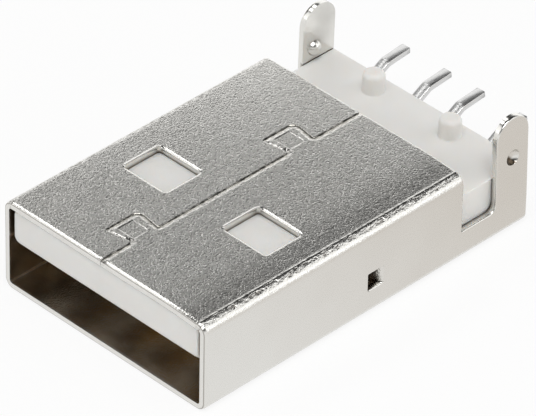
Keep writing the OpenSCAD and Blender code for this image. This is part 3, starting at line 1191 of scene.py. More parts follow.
    def collect(self) -> tuple[PointPool, list[CutEdge], list[np.ndarray]]:
        """Gathers the points of the flat sheet.

        Returns:
            The pool of points, the cut edges with rolled shoulders, and the closed loops round the sheet
            and its holes.
        """
        halves = {side: self.half_edges(side) for side in Side}
        around = [e.path[:-1] for e in halves[Side.RIGHT]]
        back = [e.path[::-1][:-1] for e in halves[Side.LEFT][::-1]]
        aside = self.window_pitch / 2
        windows = [self.window(s) for s in (
            -aside, aside, self.s_on_top(-aside, Side.LEFT), self.s_on_top(aside, Side.RIGHT))]
        slits = [self.lance_slit(side) for side in Side]
        loops = [np.concatenate(around + back)] + [w.path[:-1] for w in windows] + slits
        edges = halves[Side.RIGHT] + halves[Side.LEFT] + windows + [self.lance_lip(side) for side in Side]
        pool = PointPool()
        for loop in loops:
            pool.add_line([*loop, loop[0]])
        for edge in edges:
            self.add_rings(pool, edge, loops)
        self.add_folds(pool)
        self.add_crown(pool, edges)
        self.add_marks(pool)
        return pool, edges, loops

    def add_rings(self, pool: PointPool, edge: CutEdge, loops: Sequence[np.ndarray]) -> None:
        """Adds rows of points along a cut edge, where its rolled shoulder curves.

        Args:
            pool: points of the flat sheet.
            edge: the cut edge.
            loops: loops round the sheet, which tell its inside.
        """
        path = edge.path
        closed = np.allclose(path[0], path[-1])
        before = np.roll(path[:-1], 1, axis=0) if closed else np.concatenate([path[:1], path[:-1]])
        here = path[:-1] if closed else path
        after = path[1:] if closed else np.concatenate([path[1:], path[-1:]])
        along = after - before
        across = np.stack([-along[:, 1], along[:, 0]], 1) / np.linalg.norm(along, axis=1)[:, None]
        probe = here + across * self.probe
        across = np.where(inside_loops(probe, loops)[:, None], across, -across)
        everything = [np.concatenate([loop, loop[:1]]) for loop in loops]
        for row in edge.roll.rows():
            moved = here + across * row
            keep = inside_loops(moved, loops) & (distances(moved, path) > self.ring_share * row)
            for loop in everything:
                keep &= distances(moved, loop) > self.ring_clear
            for point in moved[keep]:
                pool.add(tuple(point))

    def add_folds(self, pool: PointPool) -> None:
        """Adds the lines along which the sheet bends, so that each bend is a row of narrow faces.

        Args:
            pool: points of the flat sheet.
        """
        for side in Side:
            for top, rows in self.bend_lines(side).items():
                end_y = self.sleeve_l if top else self.length
                rear = [end_y - row for row in reversed(self.rear_roll.rows())]
                stops = [0.0, *self.front_roll.rows(), *rear, end_y]
                path = resampled([(y, 0.0) for y in stops], self.fold_step)
                for s in rows:
                    pool.add_line([(side.value * s, y) for y, _ in path])

    def add_crown(self, pool: PointPool, edges: Sequence[CutEdge]) -> None:
        """Adds loose points where the top slopes down to its bends.

        Args:
            pool: points of the flat sheet.
            edges: cut edges, whose rolled shoulders stay clear of the points.
        """
        along = np.arange(self.crown_front, self.sleeve_l - self.crown_rear, self.crown_step)
        for side in Side:
            spots = np.array([(side.value * s, y) for s in self.crown_lines(side) for y in along])
            clear = np.full(len(spots), True)
            for edge in edges:
                clear &= distances(spots, edge.path) > edge.roll.width + self.crown_clear
            for spot in spots[clear]:
                pool.add(tuple(spot))

    def add_marks(self, pool: PointPool) -> None:
        """Adds the points of the staked marks, the dimples and the lances.

        Args:
            pool: points of the flat sheet.
        """
        slope, rim = self.stake_slope, self.stake_rim
        for s0, y0, s1, y1 in self.stakes():
            for inset in (-rim, 0.0, slope / 2, slope, slope + rim):
                low, high, front, rear = s0 + inset, s1 - inset, y0 + inset, y1 - inset
                box = [(low, front), (high, front), (high, rear), (low, rear), (low, front)]
                pool.add_line(resampled(box, self.spacing))
        for side in Side:
            self.add_dimple(pool, side)
            self.add_lance(pool, side)

    def add_dimple(self, pool: PointPool, side: Side) -> None:
        """Adds rings of points in and round a dimple.

        Args:
            pool: points of the flat sheet.
            side: which ear.
        """
        s, y = self.dimple(side)
        pool.add((s, y))
        for share in (*self.dimple_rings, self.bump_d / self.dimple_d, self.dimple_last_ring):
            r = self.dimple_d / 2 * share
            for i in range(self.dimple_steps):
                a = 2 * math.pi * i / self.dimple_steps
                pool.add((s + r * math.cos(a), y + r * math.sin(a)))

    def add_lance(self, pool: PointPool, side: Side) -> None:
        """Adds rows of points across a lance, and loose rings of points in the wall round it.

        Args:
            pool: points of the flat sheet.
            side: which lance.
        """
        s, h = self.s_on_wall(self.lance_z), self.lance_h / 2 - self.lance_cut
        tip, rear = self.lance_y + self.lance_short, self.lance_y + self.lance_l
        for y in (*np.linspace(tip, rear, self.lance_rows)[1:], rear + self.lance_past):
            pool.add_line([(side.value * a, y) for a in np.linspace(s - h, s + h, self.lance_steps)])
        for out in self.lance_rings:
            w, front, back = self.lance_h / 2 + out, self.lance_y - out, rear + out
            box = [(s - w, back), (s - w, front), (s + w, front), (s + w, back), (s - w, back)]
            for a, y in resampled(box, self.spacing):
                pool.add((side.value * a, y))

    def triangulate(self, pool: PointPool, loops: Sequence[np.ndarray]) -> tuple[np.ndarray, np.ndarray]:
        """Triangulates the flat sheet.

        Args:
            pool: its points and lines.
            loops: closed loops round the sheet and its holes.

        Returns:
            The points (s, y) that are used, and the triangles, anticlockwise.
        """
        found = delaunay_2d_cdt([Vector(p) for p in pool.points], pool.lines, [], 0, TINY)
        flat = np.array([tuple(v) for v in found[0]])
        faces = np.array([f for f in found[2] if len(f) == 3])
        a, b, c = (flat[faces[:, i]] for i in range(3))
        turn = (b[:, 0] - a[:, 0]) * (c[:, 1] - a[:, 1]) - (b[:, 1] - a[:, 1]) * (c[:, 0] - a[:, 0])
        faces = np.where((turn < 0)[:, None], faces[:, ::-1], faces)
        faces = faces[inside_loops((a + b + c) / 3, loops) & (np.abs(turn) > ROUNDING)]
        used = np.unique(faces)
        renumber = np.full(len(flat), -1)
        renumber[used] = np.arange(len(used))
        return flat[used], renumber[faces]

    def build(self) -> bpy.types.Object:
        """Cuts the flat sheet, folds it and gives it its thickness.

        Returns:
            The shell's object, with the attributes "strained", "burnished", "inside" and "soiled" for its
            material. The last two carry painted shade: inside the sleeve, and in dents, round bumps, along
            noses and down cuts.
        """
        pool, edges, loops = self.collect()
        flat, faces = self.triangulate(pool, loops)
        middle, normal, strained = self.fold(flat)
        dent, bump, shade_out, shade_in = self.dimples(flat)
        ridge, staked, pressed = self.ridge(flat), self.staked(flat), self.pressed(flat)
        rolled, torn_shade = np.zeros(len(flat)), np.zeros(len(flat))
        creased = (staked > 0) & (staked < self.stake_crease * self.stake_depth)
        rubbed = (dent > TINY) | (ridge > self.ridge_h / 2) | creased
        rubbed_out = np.where(rubbed, 1.0, self.wall_burnish * np.abs(normal[:, 0]))
        rubbed_in = np.full(len(flat), self.inner_burnish)
        strained = np.maximum(strained, np.where(ridge > 0, self.ridge_strain, 0.0))
        for edge in edges:
            gap, strength = distances(flat, edge.path), edge.strength(flat)
            rolled = np.maximum(rolled, edge.roll.depth(gap) * strength)
            strained = np.maximum(strained, edge.roll.strain(gap))
            rubbed_out = np.maximum(rubbed_out, edge.roll.burnish(gap) * strength)
            rubbed_in = np.maximum(rubbed_in, gap < self.cut_near)
            # Painted shade: a dark line along each nose, and down the lower part of each cut, which is also
            # its dull torn zone
            shade_out = np.maximum(shade_out, edge.roll.nose_shade(gap))
            torn_shade = np.maximum(torn_shade, np.where(gap < self.cut_near, edge.roll.torn_shade, 0.0))
        outer = self.sheet / 2 - rolled - staked - dent - pressed + ridge + self.window_lip(flat)
        inner = -self.sheet / 2 - bump - pressed
        shell, rim = self.sheet_mesh(
            faces, middle + normal * outer[:, None], middle + normal * inner[:, None])

        corners = np.empty(len(shell.data.loops), np.int32)
        shell.data.loops.foreach_get("vertex_index", corners)
        cut = corners[2 * faces.size:]
        # Painted shade inside the sleeve, which fades in just behind the front and out before the rear
        inside_shade_mask = np.clip((flat[:, 1] - self.inside_shade_front) / self.inside_shade_front_ease, 0, 1)
        inside_shade_mask *= np.clip((self.sleeve_l - flat[:, 1]) / self.inside_shade_rear_ease, 0, 1)
        # Painted shade down the lower half of each cut face
        cut_shade = np.concatenate([np.zeros(len(flat)), torn_shade, np.zeros(len(rim))])[cut]
        for name, domain, stretches in (
                ("strained", "POINT", [strained, strained, strained[rim]]),
                ("burnished", "POINT", [rubbed_out, rubbed_in, rubbed_in[rim]]),
                ("inside", "CORNER", [np.zeros(faces.size), inside_shade_mask[faces].ravel(), np.zeros(len(cut))]),
                ("painted_shade", "CORNER", [
                    shade_out[faces[:, ::-1]].ravel(), shade_in[faces].ravel(), cut_shade])):
            add_values(shell.data, name, domain, np.concatenate(stretches))
        return shell

    def sheet_mesh(
            self, faces: np.ndarray, outside: np.ndarray,
            inside: np.ndarray) -> tuple[bpy.types.Object, np.ndarray]:
        """Joins the two faces of the sheet along its cut edges.

        Args:
            faces: triangles of the flat sheet, anticlockwise.
            outside: the points on the outer face.
            inside: the points on the inner face.

        Returns:
            The shell's object, and the numbers of the points on the rim. Its points are the outer ones, the
            inner ones and those along the middle of the cut faces.
        """
        count = len(outside)
        ways: dict[tuple[int, int], bool] = {}
        for a, b, c in faces:
            for edge in ((a, b), (b, c), (c, a)):
                ways[edge] = True
        ends = [edge for edge in ways if (edge[1], edge[0]) not in ways]
        rim = np.unique(ends)
        between = {a: 2 * count + i for i, a in enumerate(rim)}
        walls = []
        for a, b in ends:
            walls += [(a, b, between[b], between[a]), (between[a], between[b], b + count, a + count)]
        halfway = outside[rim] + (inside[rim] - outside[rim]) * self.burnished_share
        polygons = [*faces[:, ::-1].tolist(), *(faces + count).tolist(), *walls]
        mesh = bpy.data.meshes.new("shell_sheet")
        mesh.from_pydata((np.concatenate([outside, inside, halfway]) * MM).tolist(), [], polygons)
        mesh.update()
        mesh.shade_smooth()
        mesh.set_sharp_from_angle(angle=math.radians(self.sharp_angle))
        return new_object("shell_sheet", mesh), rim

    def make(self, finish: SatinNickel) -> None:
        """Builds the shell and dresses it in its finish."""
        dress(self.build(), finish.material(), Slot.SHELL, "shell")


@dataclass
class Insulator:
    """The moulding: tongue, block, board seat and two pegs, with slots for strips and pockets for lances."""

    front_y: float
    length: float
    half_w: float = 5.644
    tongue_half_w: float = 5.5
    floor_z: float = 0.3
    seat_z: float = 3.05
    tongue_top: float = 4.18
    tongue_t: float = 1.84
    tongue_back: float = 0.06
    tip_chamfer: float = 0.25
    hollow_l: float = 8.65
    step_y: float = 15.15
    step_gap: float = 0.001
    # Roundings of the long edges, of those at the board seat, and of both ends, of which the rear is finer
    corner_r: float = 0.3
    corner_rows: int = 6
    seat_r: float = 0.02
    least_r: float = 0.02
    edge_r: float = 0.12
    rear_finer: float = 3.0
    # Pegs
    peg_d: float = 1.0
    peg_h: float = 1.0
    peg_pitch: float = 4.56
    peg_y: float = 18.135
    peg_top_r: float = 0.26
    peg_foot_r: float = 0.06
    peg_root: float = 0.3
    peg_steps: int = 40
    # Slots for the strips
    slot_w: float = 1.1
    slot_h: float = 0.3
    slot_z: float = 2.44
    slot_ahead: float = 0.05
    slot_past: float = 1.0
    # Pockets for the lances
    pocket_x: float = 4.2
    pocket_front: float = 9.43
    pocket_rear: float = 10.67
    pocket_low: float = 1.25
    pocket_high: float = 2.21
    pocket_past: float = 2.0
    pocket_near: float = 0.01
    sharp_angle: float = 35.0

    def ring(self, half_w: float, low: float, high: float, inset: float) -> list[Point]:
        """Cross section of the moulding.

        Args:
            half_w: half of its width.
            low: its lowest height.
            high: its highest height. At the board seat, the upper corners are nearly sharp.
            inset: distance that the whole section is drawn in.

        Returns:
            Points as (x, z), anticlockwise.
        """
        w, low, high = half_w - inset, low + inset, high - inset
        lower = max(self.corner_r - inset, self.least_r)
        upper = lower if high > self.seat_z else max(self.seat_r - inset, self.least_r)
        points = []
        for cx, cz, r, start in (
                (w - lower, low + lower, lower, -90), (w - upper, high - upper, upper, 0),
                (upper - w, high - upper, upper, 90), (lower - w, low + lower, lower, 180)):
            for i in range(self.corner_rows + 1):
                a = math.radians(start + 90 * i / self.corner_rows)
                points.append((cx + r * math.cos(a), cz + r * math.sin(a)))
        return points

    def stations(self) -> list[tuple[float, float, float, float, float]]:
        """Lists the cross sections along the moulding.

        Returns:
            Each as (y, half width, lowest z, highest z, inset).
        """
        e, finer, seat = self.edge_r, self.rear_finer, self.seat_z
        rounding = [(e * (1 - math.cos(a)), e * (1 - math.sin(a))) for a in np.radians((0, 30, 60, 90))]
        tip, top, face = self.tongue_back, self.tongue_top, self.tongue_top - self.tongue_t
        chamfer = face + self.tip_chamfer
        thin, wide, floor = self.tongue_half_w, self.half_w, self.floor_z
        rows = [(tip + d, thin, chamfer - d, top, i) for d, i in rounding]
        rows += [(tip + self.tip_chamfer, thin, face, top, 0.0), (self.hollow_l, thin, face, top, 0.0)]
        block, step = self.hollow_l + self.step_gap, self.step_y - self.step_gap
        rows += [(block, wide, floor, top, 0.0), (step, wide, floor, top, 0.0)]
        rows += [(self.step_y, wide, floor, seat, 0.0)]
        rows += [(self.length - d / finer, wide, floor, seat, i / finer) for d, i in reversed(rounding)]
        return rows

    def body(self) -> bpy.types.Object:
        """Lofts the moulding's body through its cross sections.

        Returns:
            The body's object.
        """
        mesh = bmesh.new()
        loft(mesh, [
            [Vector((x, y + self.front_y, z)) * MM for x, z in self.ring(half_w, low, high, inset)]
            for y, half_w, low, high, inset in self.stations()])
        return solid_object("insulator_moulding", mesh)

    def peg_profile(self) -> list[Point]:
        """Draws half the outline of a peg.

        Returns:
            Points as (radius, height above the seat), from its root up.
        """
        r, foot, top = self.peg_d / 2, self.peg_foot_r, self.peg_top_r
        outline = [(r + foot, -self.peg_root), (r + foot, 0.0)]
        outline += [
            (r + foot * (1 - math.sin(a)), foot * (1 - math.cos(a))) for a in np.radians((30, 60, 90))]
        outline += [
            (r - top + top * math.cos(a), self.peg_h - top + top * math.sin(a))
            for a in np.radians((0, 15, 30, 45, 60, 75, 90))]
        return outline

    def pegs(self) -> bpy.types.Object:
        """Turns the two pegs from their outline.

        Returns:
            One object with both pegs.
        """
        mesh = bmesh.new()
        y = self.peg_y + self.front_y
        turns = [2 * math.pi * i / self.peg_steps for i in range(self.peg_steps)]
        for x in (-self.peg_pitch / 2, self.peg_pitch / 2):
            loft(mesh, [
                [Vector((x + r * math.cos(a), y + r * math.sin(a), self.seat_z + h)) * MM for a in turns]
                for r, h in self.peg_profile()])
        return solid_object("pegs", mesh)

    def cutters(self) -> bpy.types.Object:
        """Makes the boxes that cut the strips' slots and the lances' pockets.

        Returns:
            One object with all the boxes.
        """
        boxes = []
        w, h, end = self.slot_w / 2, self.slot_h / 2, self.length + self.slot_past
        for contact in Contact:
            tip = self.hollow_l - contact.blade_l - self.slot_ahead
            boxes.append(((contact.x - w, tip, self.slot_z - h), (contact.x + w, end, self.slot_z + h)))
        near, far = self.pocket_x, self.pocket_x + self.pocket_past
        for left, right in ((near, far), (-far, -near)):
            boxes.append((
                (left, self.pocket_front, self.pocket_low), (right, self.pocket_rear, self.pocket_high)))
        mesh = bmesh.new()
        for low, high in boxes:
            low, high = (Vector(p) + Vector((0, self.front_y, 0)) for p in (low, high))
            size = high - low
            place = Matrix.Translation((low + high) / 2 * MM) @ Matrix.Diagonal((*(size * MM), 1))
            bmesh.ops.create_cube(mesh, size=1, matrix=place)
        return solid_object("cutters", mesh)

    def build(self) -> bpy.types.Object:
        """Joins the pegs to the body, cuts its slots and marks its pockets.

        Returns:
            The insulator's object, with the attribute "pocket" for its material.
        """
        body = self.body()
        tools = {"UNION": self.pegs(), "DIFFERENCE": self.cutters()}
        for operation, tool in tools.items():
            modifier = body.modifiers.new(operation.lower(), "BOOLEAN")
            modifier.operation, modifier.object, modifier.solver = operation, tool, "EXACT"
        made = bpy.data.meshes.new_from_object(body.evaluated_get(bpy.context.evaluated_depsgraph_get()))
        body.modifiers.clear()
        body.data = made
        for tool in tools.values():
            bpy.data.objects.remove(tool)
        made.shade_smooth()
        made.set_sharp_from_angle(angle=math.radians(self.sharp_angle))
        self.mark_pockets(made)
        return body

    def mark_pockets(self, mesh: bpy.types.Mesh) -> None:
        """Marks the faces of the lances' pockets, which the material darkens with painted shade.

        Args:
            mesh: the finished moulding.
        """
        middles = np.empty(3 * len(mesh.polygons), np.float32)
        mesh.polygons.foreach_get("center", middles)
        spots = np.abs(middles.reshape(-1, 3) / MM - (0.0, self.front_y, 0.0))
        near = self.pocket_near
        low = np.array((self.pocket_x, self.pocket_front, self.pocket_low)) - near
        high = np.array((self.half_w - 2 * near, self.pocket_rear + near, self.pocket_high + near))
        add_values(mesh, "pocket", "FACE", ((spots > low) & (spots < high)).all(axis=1))

    def make(self, finish: MouldedPbt) -> None:
        """Builds the insulator and dresses it in its finish."""
        dress(self.build(), finish.material(), Slot.INSULATOR, "insulator")


@dataclass
class ContactStrips:
    """The four contact strips: each follows a bent path and changes its width from blade to tail."""

    front_y: float
    length: float
    hollow_l: float = 8.65
    thickness: float = 0.26
    edge_r: float = 0.05
    # Blade, with a tip that thins out from below
    blade_w: float = 1.0
    blade_z: float = 2.44
    blade_tip: float = 0.5
    underside: float = 0.01
    # Barbs that hold the strip in its slot
    slot_w: float = 1.1
    barbs: int = 2
    barb_in: float = 2.0
    barb_pitch: float = 0.9
    barb_l: float = 0.45
    barb_end: float = 0.01
    # Tail, which slopes up to a flat end that rises a little, both in degrees
    shoulder_l: float = 0.3
    shoulder_in: float = 0.35
    tail_w: float = 0.5
    tail_z: float = 2.93
    tail_root: float = 0.06
    tail_slope: float = 29.0
    tail_r: float = 0.4
    lower_bend_rows: int = 9
    upper_bend_rows: int = 8
    tail_flat: float = 1.158
    tail_rise: float = 5.0
    end_l: float = 0.03
    end_in: float = 0.06
    sharp_angle: float = 50.0

    def path(self, tip_y: float) -> list[tuple[float, float, float]]:
        """Middle line of a strip.

        Args:
            tip_y: place of the blade's tip behind the mating front.

        Returns:
            Points as (y, z, width) from the tip of the blade to the end of the tail.
        """
        points = [(tip_y, self.blade_z, self.blade_w), (tip_y + self.blade_tip, self.blade_z, self.blade_w)]
        for i in range(self.barbs):
            y = self.hollow_l + self.barb_in + i * self.barb_pitch
            points += [
                (y, self.blade_z, self.blade_w), (y + self.barb_l, self.blade_z, self.slot_w),
                (y + self.barb_l + self.barb_end, self.blade_z, self.blade_w)]
        neck = self.length - self.shoulder_in
        points += [(neck - self.shoulder_l, self.blade_z, self.blade_w), (neck, self.blade_z, self.tail_w)]
        slope, r = math.radians(self.tail_slope), self.tail_r
        climb = (self.tail_z - self.blade_z - 2 * r * (1 - math.cos(slope))) / math.sin(slope)
        start = self.length + self.tail_root
        top = start + climb * math.cos(slope) + 2 * r * math.sin(slope)
        rise = math.radians(self.tail_rise)
        points += [
            (start + r * math.sin(a), self.blade_z + r * (1 - math.cos(a)), self.tail_w)
            for a in np.linspace(0, slope, self.lower_bend_rows)]
        points += [
            (top - r * math.sin(a), self.tail_z - r * (1 - math.cos(a)), self.tail_w)
            for a in np.linspace(slope, rise, self.upper_bend_rows)]
        flat_y, flat_z, _ = points[-1]
        for back, width in ((self.end_l, self.tail_w), (0.0, self.tail_w - self.end_in)):
            run = top + self.tail_flat - back - flat_y
            points.append((flat_y + run, flat_z + run * math.tan(rise), width))
        return points

    def sweep_tree(self, material: bpy.types.Material) -> Tree:
        """Geometry Nodes tree that sweeps a strip's rounded section along its middle line.

        Args:
            material: finish of the strip.

        Returns:
            The tree, with the inputs Thickness and Edge Radius. It reads the attributes strip_width,
            strip_level and tip_lift of the middle line.
        """
        tree = bpy.data.node_groups.new("strip_sweep", "GeometryNodeTree")
        face = tree.interface
        face.new_socket("Geometry", in_out="INPUT", socket_type="NodeSocketGeometry")
        for name in ("Thickness", "Edge Radius"):
            face.new_socket(name, in_out="INPUT", socket_type="NodeSocketFloat")
        face.new_socket("Geometry", in_out="OUTPUT", socket_type="NodeSocketGeometry")
        given = add_node(tree, "NodeGroupInput").outputs
        width, level, lift = (
            add_node(tree, "GeometryNodeInputNamedAttribute", data_type="FLOAT", Name=name).outputs[0]
            for name in ("strip_width", "strip_level", "tip_lift"))
        line = add_node(tree, "GeometryNodeMeshToCurve", Mesh=given["Geometry"])
        upright = add_node(tree, "GeometryNodeSetCurveNormal", mode="Z_UP", Curve=line.outputs["Curve"])
        # The section is 1 mm wide here, and each point's own width stretches it below
        section = add_node(
            tree, "GeometryNodeCurvePrimitiveQuadrilateral", mode="RECTANGLE", Width=MM,
            Height=given["Thickness"])
        rounded = add_node(
            tree, "GeometryNodeFilletCurve", mode="POLY", Curve=section.outputs["Curve"], Count=3,
            Radius=given["Edge Radius"])
        swept = add_node(
            tree, "GeometryNodeCurveToMesh", Curve=upright.outputs["Curve"],
            Profile_Curve=rounded.outputs["Curve"], Fill_Caps=True)
        where = add_node(tree, "GeometryNodeInputPosition")
        x, y, z = add_node(tree, "ShaderNodeSeparateXYZ", Vector=where.outputs["Position"]).outputs
        below = add_math(tree, "LESS_THAN", z, level)
        there = add_node(
            tree, "ShaderNodeCombineXYZ", X=add_math(tree, "MULTIPLY", x, width), Y=y,
            Z=add_math(tree, "MULTIPLY_ADD", below, lift, z))
        shaped = add_node(
            tree, "GeometryNodeSetPosition", Geometry=swept.outputs["Mesh"],
            Position=there.outputs["Vector"])
        single = add_node(tree, "GeometryNodeRealizeInstances", Geometry=shaped.outputs["Geometry"])
        finished = add_node(
            tree, "GeometryNodeSetMaterial", Geometry=single.outputs["Geometry"], Material=material)
        add_node(tree, "NodeGroupOutput", Geometry=finished.outputs["Geometry"])
        return tree

    def build(self, contact: Contact, tree: Tree) -> bpy.types.Object:
        """Sweeps one strip.

        Args:
            contact: which contact.
            tree: the sweep.

        Returns:
            The strip's object.
        """
        name = contact.node + "_strip"
        points = self.path(self.hollow_l - contact.blade_l)
        mesh = bpy.data.meshes.new(name)
        mesh.from_pydata(
            [(0.0, (y + self.front_y) * MM, z * MM) for y, z, _ in points],
            [(i, i + 1) for i in range(len(points) - 1)], [])
        add_values(mesh, "strip_width", "POINT", [width for _, _, width in points])
        add_values(mesh, "strip_level", "POINT", [(z - self.underside) * MM for _, z, _ in points])
        add_values(mesh, "tip_lift", "POINT", [self.thickness / 2 * MM] + [0.0] * (len(points) - 1))
        piece = new_object(name, mesh)
        modifier = piece.modifiers.new("sweep", "NODES")
        modifier.node_group = tree
        sizes = {"Thickness": self.thickness, "Edge Radius": self.edge_r}
        for item in tree.interface.items_tree:
            if item.name in sizes and item.in_out == "INPUT":
                modifier[item.identifier] = sizes[item.name] * MM
        made = bpy.data.meshes.new_from_object(piece.evaluated_get(bpy.context.evaluated_depsgraph_get()))
        piece.modifiers.clear()
        made.transform(Matrix.Translation((contact.x * MM, 0, 0)))
        piece.data = made
        made.shade_smooth()
        made.set_sharp_from_angle(angle=math.radians(self.sharp_angle))
        return piece

    def make(self, finish: PlatedStrip) -> None:
        """Sweeps the four strips and dresses them in their finish.

        Args:
            finish: the plating, which the four share.
        """
        plating = finish.material(self.front_y + self.hollow_l)
        tree = self.sweep_tree(plating)
        for contact in Contact:
            dress(self.build(contact, tree), plating, Slot.CONTACT, contact.node)


def stage_sheet(
        name: str, corners: Sequence[Vector], material: bpy.types.Material, mirrored_only: bool) -> None:
    """Sets up a flat sheet of the studio.

    Args:
        name: name of the sheet.
        corners: its four corners in order, in millimetres.
        material: its finish.
        mirrored_only: whether only reflections show it.
    """
    mesh = bpy.data.meshes.new(name)
    mesh.from_pydata([corner * MM for corner in corners], [], [(0, 1, 2, 3)])
    sheet = new_object(name, mesh)
    sheet.data.materials.append(material)
    if mirrored_only:
        sheet.visible_camera = sheet.visible_diffuse = False
        sheet.visible_shadow = sheet.visible_transmission = False


@dataclass(frozen=True)
class SoftBox:
    """A square soft lamp, with its place and size in millimetres and its power in watts."""

    name: str
    place: tuple[float, float, float]
    size: float
    power: float

    def hang(self, aim: tuple[float, float, float]) -> None:
        """Hangs the lamp.

        Args:
            aim: place that it points at, in millimetres.
        """
        data = bpy.data.lights.new(self.name, "AREA")
        data.shape, data.size, data.energy = "SQUARE", self.size * MM, self.power
        lamp = bpy.data.objects.new(self.name, data)
        lamp.location = Vector(self.place) * MM
        lamp.rotation_mode = "QUATERNION"
        lamp.rotation_quaternion = (Vector(aim) - Vector(self.place)).to_track_quat("-Z", "Y")
        bpy.context.scene.collection.objects.link(lamp)


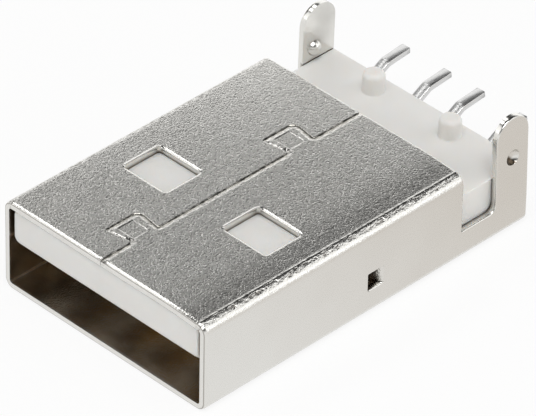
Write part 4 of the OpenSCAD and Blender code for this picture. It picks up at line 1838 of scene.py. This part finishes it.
@dataclass(frozen=True)
class Studio:
    """Camera, floor and soft light, in millimetres and degrees."""

    # Camera, fitted to the photograph
    azimuth: float = 44.7341
    elevation: float = 36.7111
    roll: float = 1.0959
    distance: float = 259.799
    target: tuple[float, float, float] = (0.0, -1.7105, 2.25)
    offset: Point = (-0.3754, -0.3051)
    focal_px: float = 6184.81
    image_w: int = 536
    sensor: float = 36.0
    clip_m: Point = (0.01, 20.0)
    # Floor, of which the camera and reflections see a share of plain white over the lit paper
    floor_half: float = 3000.0
    floor_colour: str = "#F4F4F3"
    floor_white: float = 0.85
    # Surroundings: heights, as the Z of a direction, between which the wall and then the ceiling darken
    wall_span: Point = (0.2, 0.55)
    wall_dark: float = 0.13
    ceiling_span: Point = (0.55, 0.75)
    ceiling_dark: float = 0.2
    # Card that the top of the shell mirrors, with heights from where a spot's reflection goes
    card_spot: tuple[float, float, float] = (0.0, -3.0, 4.5)
    card_away: float = 30.0
    card_half_w: float = 60.0
    card_low: float = -30.0
    card_high: float = -6.2
    card_glow: float = 1.3
    # Card that the right wall mirrors, greyer from its front to its rear
    side_card_x: Point = (6.1, 300.0)
    side_card_y: Point = (-40.0, 300.0)
    side_card_z: float = 0.02
    side_card_front: str = "#FAFAFA"
    side_card_rear: str = "#E7E2DD"
    side_card_span: Point = (-8.0, 10.0)
    # Lamps
    lamp_aim: tuple[float, float, float] = (0.0, 0.0, 2.0)
    lamps: tuple[SoftBox, ...] = (
        SoftBox("right", (265, 235, 255), 330, 0.42),
        SoftBox("front", (-225, -300, 250), 260, 0.25),
        SoftBox("left", (-226, 80, 320), 90, 0.08),
        SoftBox("left_front", (-226, -62, 325), 90, 0.08),
        SoftBox("over", (100, -90, 360), 250, 0.94),
    )

    def view(self) -> tuple[Vector, Vector]:
        """Works out the directions of the view, before the camera's roll.

        Returns:
            The direction from the plug to the camera, and the one to the right in its picture.
        """
        a, e = math.radians(self.azimuth), math.radians(self.elevation)
        back = Vector((math.sin(a) * math.cos(e), -math.cos(a) * math.cos(e), math.sin(e)))
        return back, Vector((math.cos(a), math.sin(a), 0.0))

    def camera(self) -> None:
        """Sets the camera at the photograph's viewing angle."""
        back, right = self.view()
        up, r = back.cross(right), math.radians(self.roll)
        right, up = math.cos(r) * right + math.sin(r) * up, math.cos(r) * up - math.sin(r) * right
        eye = Vector(self.target) - self.offset[0] * right - self.offset[1] * up + self.distance * back
        data = bpy.data.cameras.new("camera")
        data.sensor_width = self.sensor
        data.lens = self.focal_px * self.sensor / self.image_w
        data.clip_start, data.clip_end = self.clip_m
        camera = bpy.data.objects.new("camera", data)
        camera.matrix_world = Matrix.Translation(eye * MM) @ Matrix((right, up, back)).transposed().to_4x4()
        bpy.context.scene.collection.objects.link(camera)
        bpy.context.scene.camera = camera

    def floor(self) -> None:
        """Lays a white floor that keeps the plug's shadow."""
        material, tree = new_material("white paper")
        paper = add_node(tree, "ShaderNodeBsdfDiffuse", Color=linear_rgba(self.floor_colour))
        white = add_node(tree, "ShaderNodeEmission", Color=(1.0, 1.0, 1.0, 1.0), Strength=1.0)
        path = add_node(tree, "ShaderNodeLightPath").outputs
        seen = add_math(tree, "ADD", path["Is Camera Ray"], path["Is Glossy Ray"])
        seen = add_math(tree, "ADD", seen, path["Is Transmission Ray"])
        share = add_math(tree, "MULTIPLY", seen, self.floor_white, clamp=True)
        mixed = add_node(
            tree, "ShaderNodeMixShader", In0=share, In1=paper.outputs[0], In2=white.outputs[0])
        add_node(tree, "ShaderNodeOutputMaterial", Surface=mixed.outputs[0])
        half = self.floor_half
        places = ((-half, -half), (half, -half), (half, half), (-half, half))
        stage_sheet("floor", [Vector((x, y, 0)) for x, y in places], material, mirrored_only=False)

    def world(self) -> None:
        """Surrounds the plug with a bright horizon under a dark ceiling."""
        world = bpy.data.worlds.new("studio")
        bpy.context.scene.world = world
        world.use_nodes = True
        tree = world.node_tree
        tree.nodes.clear()
        place = add_node(tree, "ShaderNodeTexCoord").outputs["Generated"]
        height = add_node(tree, "ShaderNodeSeparateXYZ", Vector=place).outputs["Z"]
        wall = add_range(tree, height, self.wall_span, 1.0, self.wall_dark, smooth=True)
        ceiling = add_range(tree, height, self.ceiling_span, 1.0, self.ceiling_dark, smooth=True)
        glow = add_node(tree, "ShaderNodeBackground", Color=wall, Strength=ceiling)
        add_node(tree, "ShaderNodeOutputWorld", Surface=glow.outputs[0])

    def card(self) -> None:
        """Stands a white card at the back left, which the top of the shell mirrors."""
        material, tree = new_material("white card")
        white = add_node(
            tree, "ShaderNodeEmission", Color=(1.0, 1.0, 1.0, 1.0), Strength=self.card_glow)
        add_node(tree, "ShaderNodeOutputMaterial", Surface=white.outputs[0])
        back, right = self.view()
        mirrored = Vector((-back.x, -back.y, back.z))
        up, middle = right.cross(mirrored), Vector(self.card_spot) + mirrored * self.card_away
        w, low, high = self.card_half_w, self.card_low, self.card_high
        corners = [middle + right * a + up * b for a, b in ((-w, low), (w, low), (w, high), (-w, high))]
        stage_sheet("card", corners, material, mirrored_only=True)

    def side_card(self) -> None:
        """Lays a card on the floor, greyer to the rear, which the right wall mirrors."""
        material, tree = new_material("shaded card")
        place = add_node(tree, "ShaderNodeTexCoord").outputs["Object"]
        along = add_node(tree, "ShaderNodeSeparateXYZ", Vector=place).outputs["Y"]
        start, end = self.side_card_span
        shade = add_range(tree, along, (start * MM, end * MM))
        colour = add_blend(tree, shade, self.side_card_front, self.side_card_rear)
        glow = add_node(tree, "ShaderNodeEmission", Color=colour, Strength=1.0)
        add_node(tree, "ShaderNodeOutputMaterial", Surface=glow.outputs[0])
        (near, far), (front, rear), z = self.side_card_x, self.side_card_y, self.side_card_z
        corners = [Vector((x, y, z)) for x, y in ((near, front), (far, front), (far, rear), (near, rear))]
        stage_sheet("side_card", corners, material, mirrored_only=True)

    def build(self) -> None:
        """Sets up the studio."""
        bpy.context.scene.view_settings.view_transform = "Standard"
        self.camera()
        self.floor()
        self.world()
        self.card()
        self.side_card()
        for lamp in self.lamps:
            lamp.hang(self.lamp_aim)


def main() -> None:
    """Builds the plug's pieces and the studio."""
    logging.basicConfig(level=logging.INFO, format="%(name)s: %(message)s")
    low, high = (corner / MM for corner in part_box("shell"))
    length, front_y = high.y - low.y, low.y
    FoldedShell(width=high.x - low.x, length=length, front_y=front_y).make(SatinNickel())
    Insulator(front_y=front_y, length=length).make(MouldedPbt())
    ContactStrips(front_y=front_y, length=length).make(PlatedStrip())
    Studio().build()


if __name__ == "__main__":
    main()
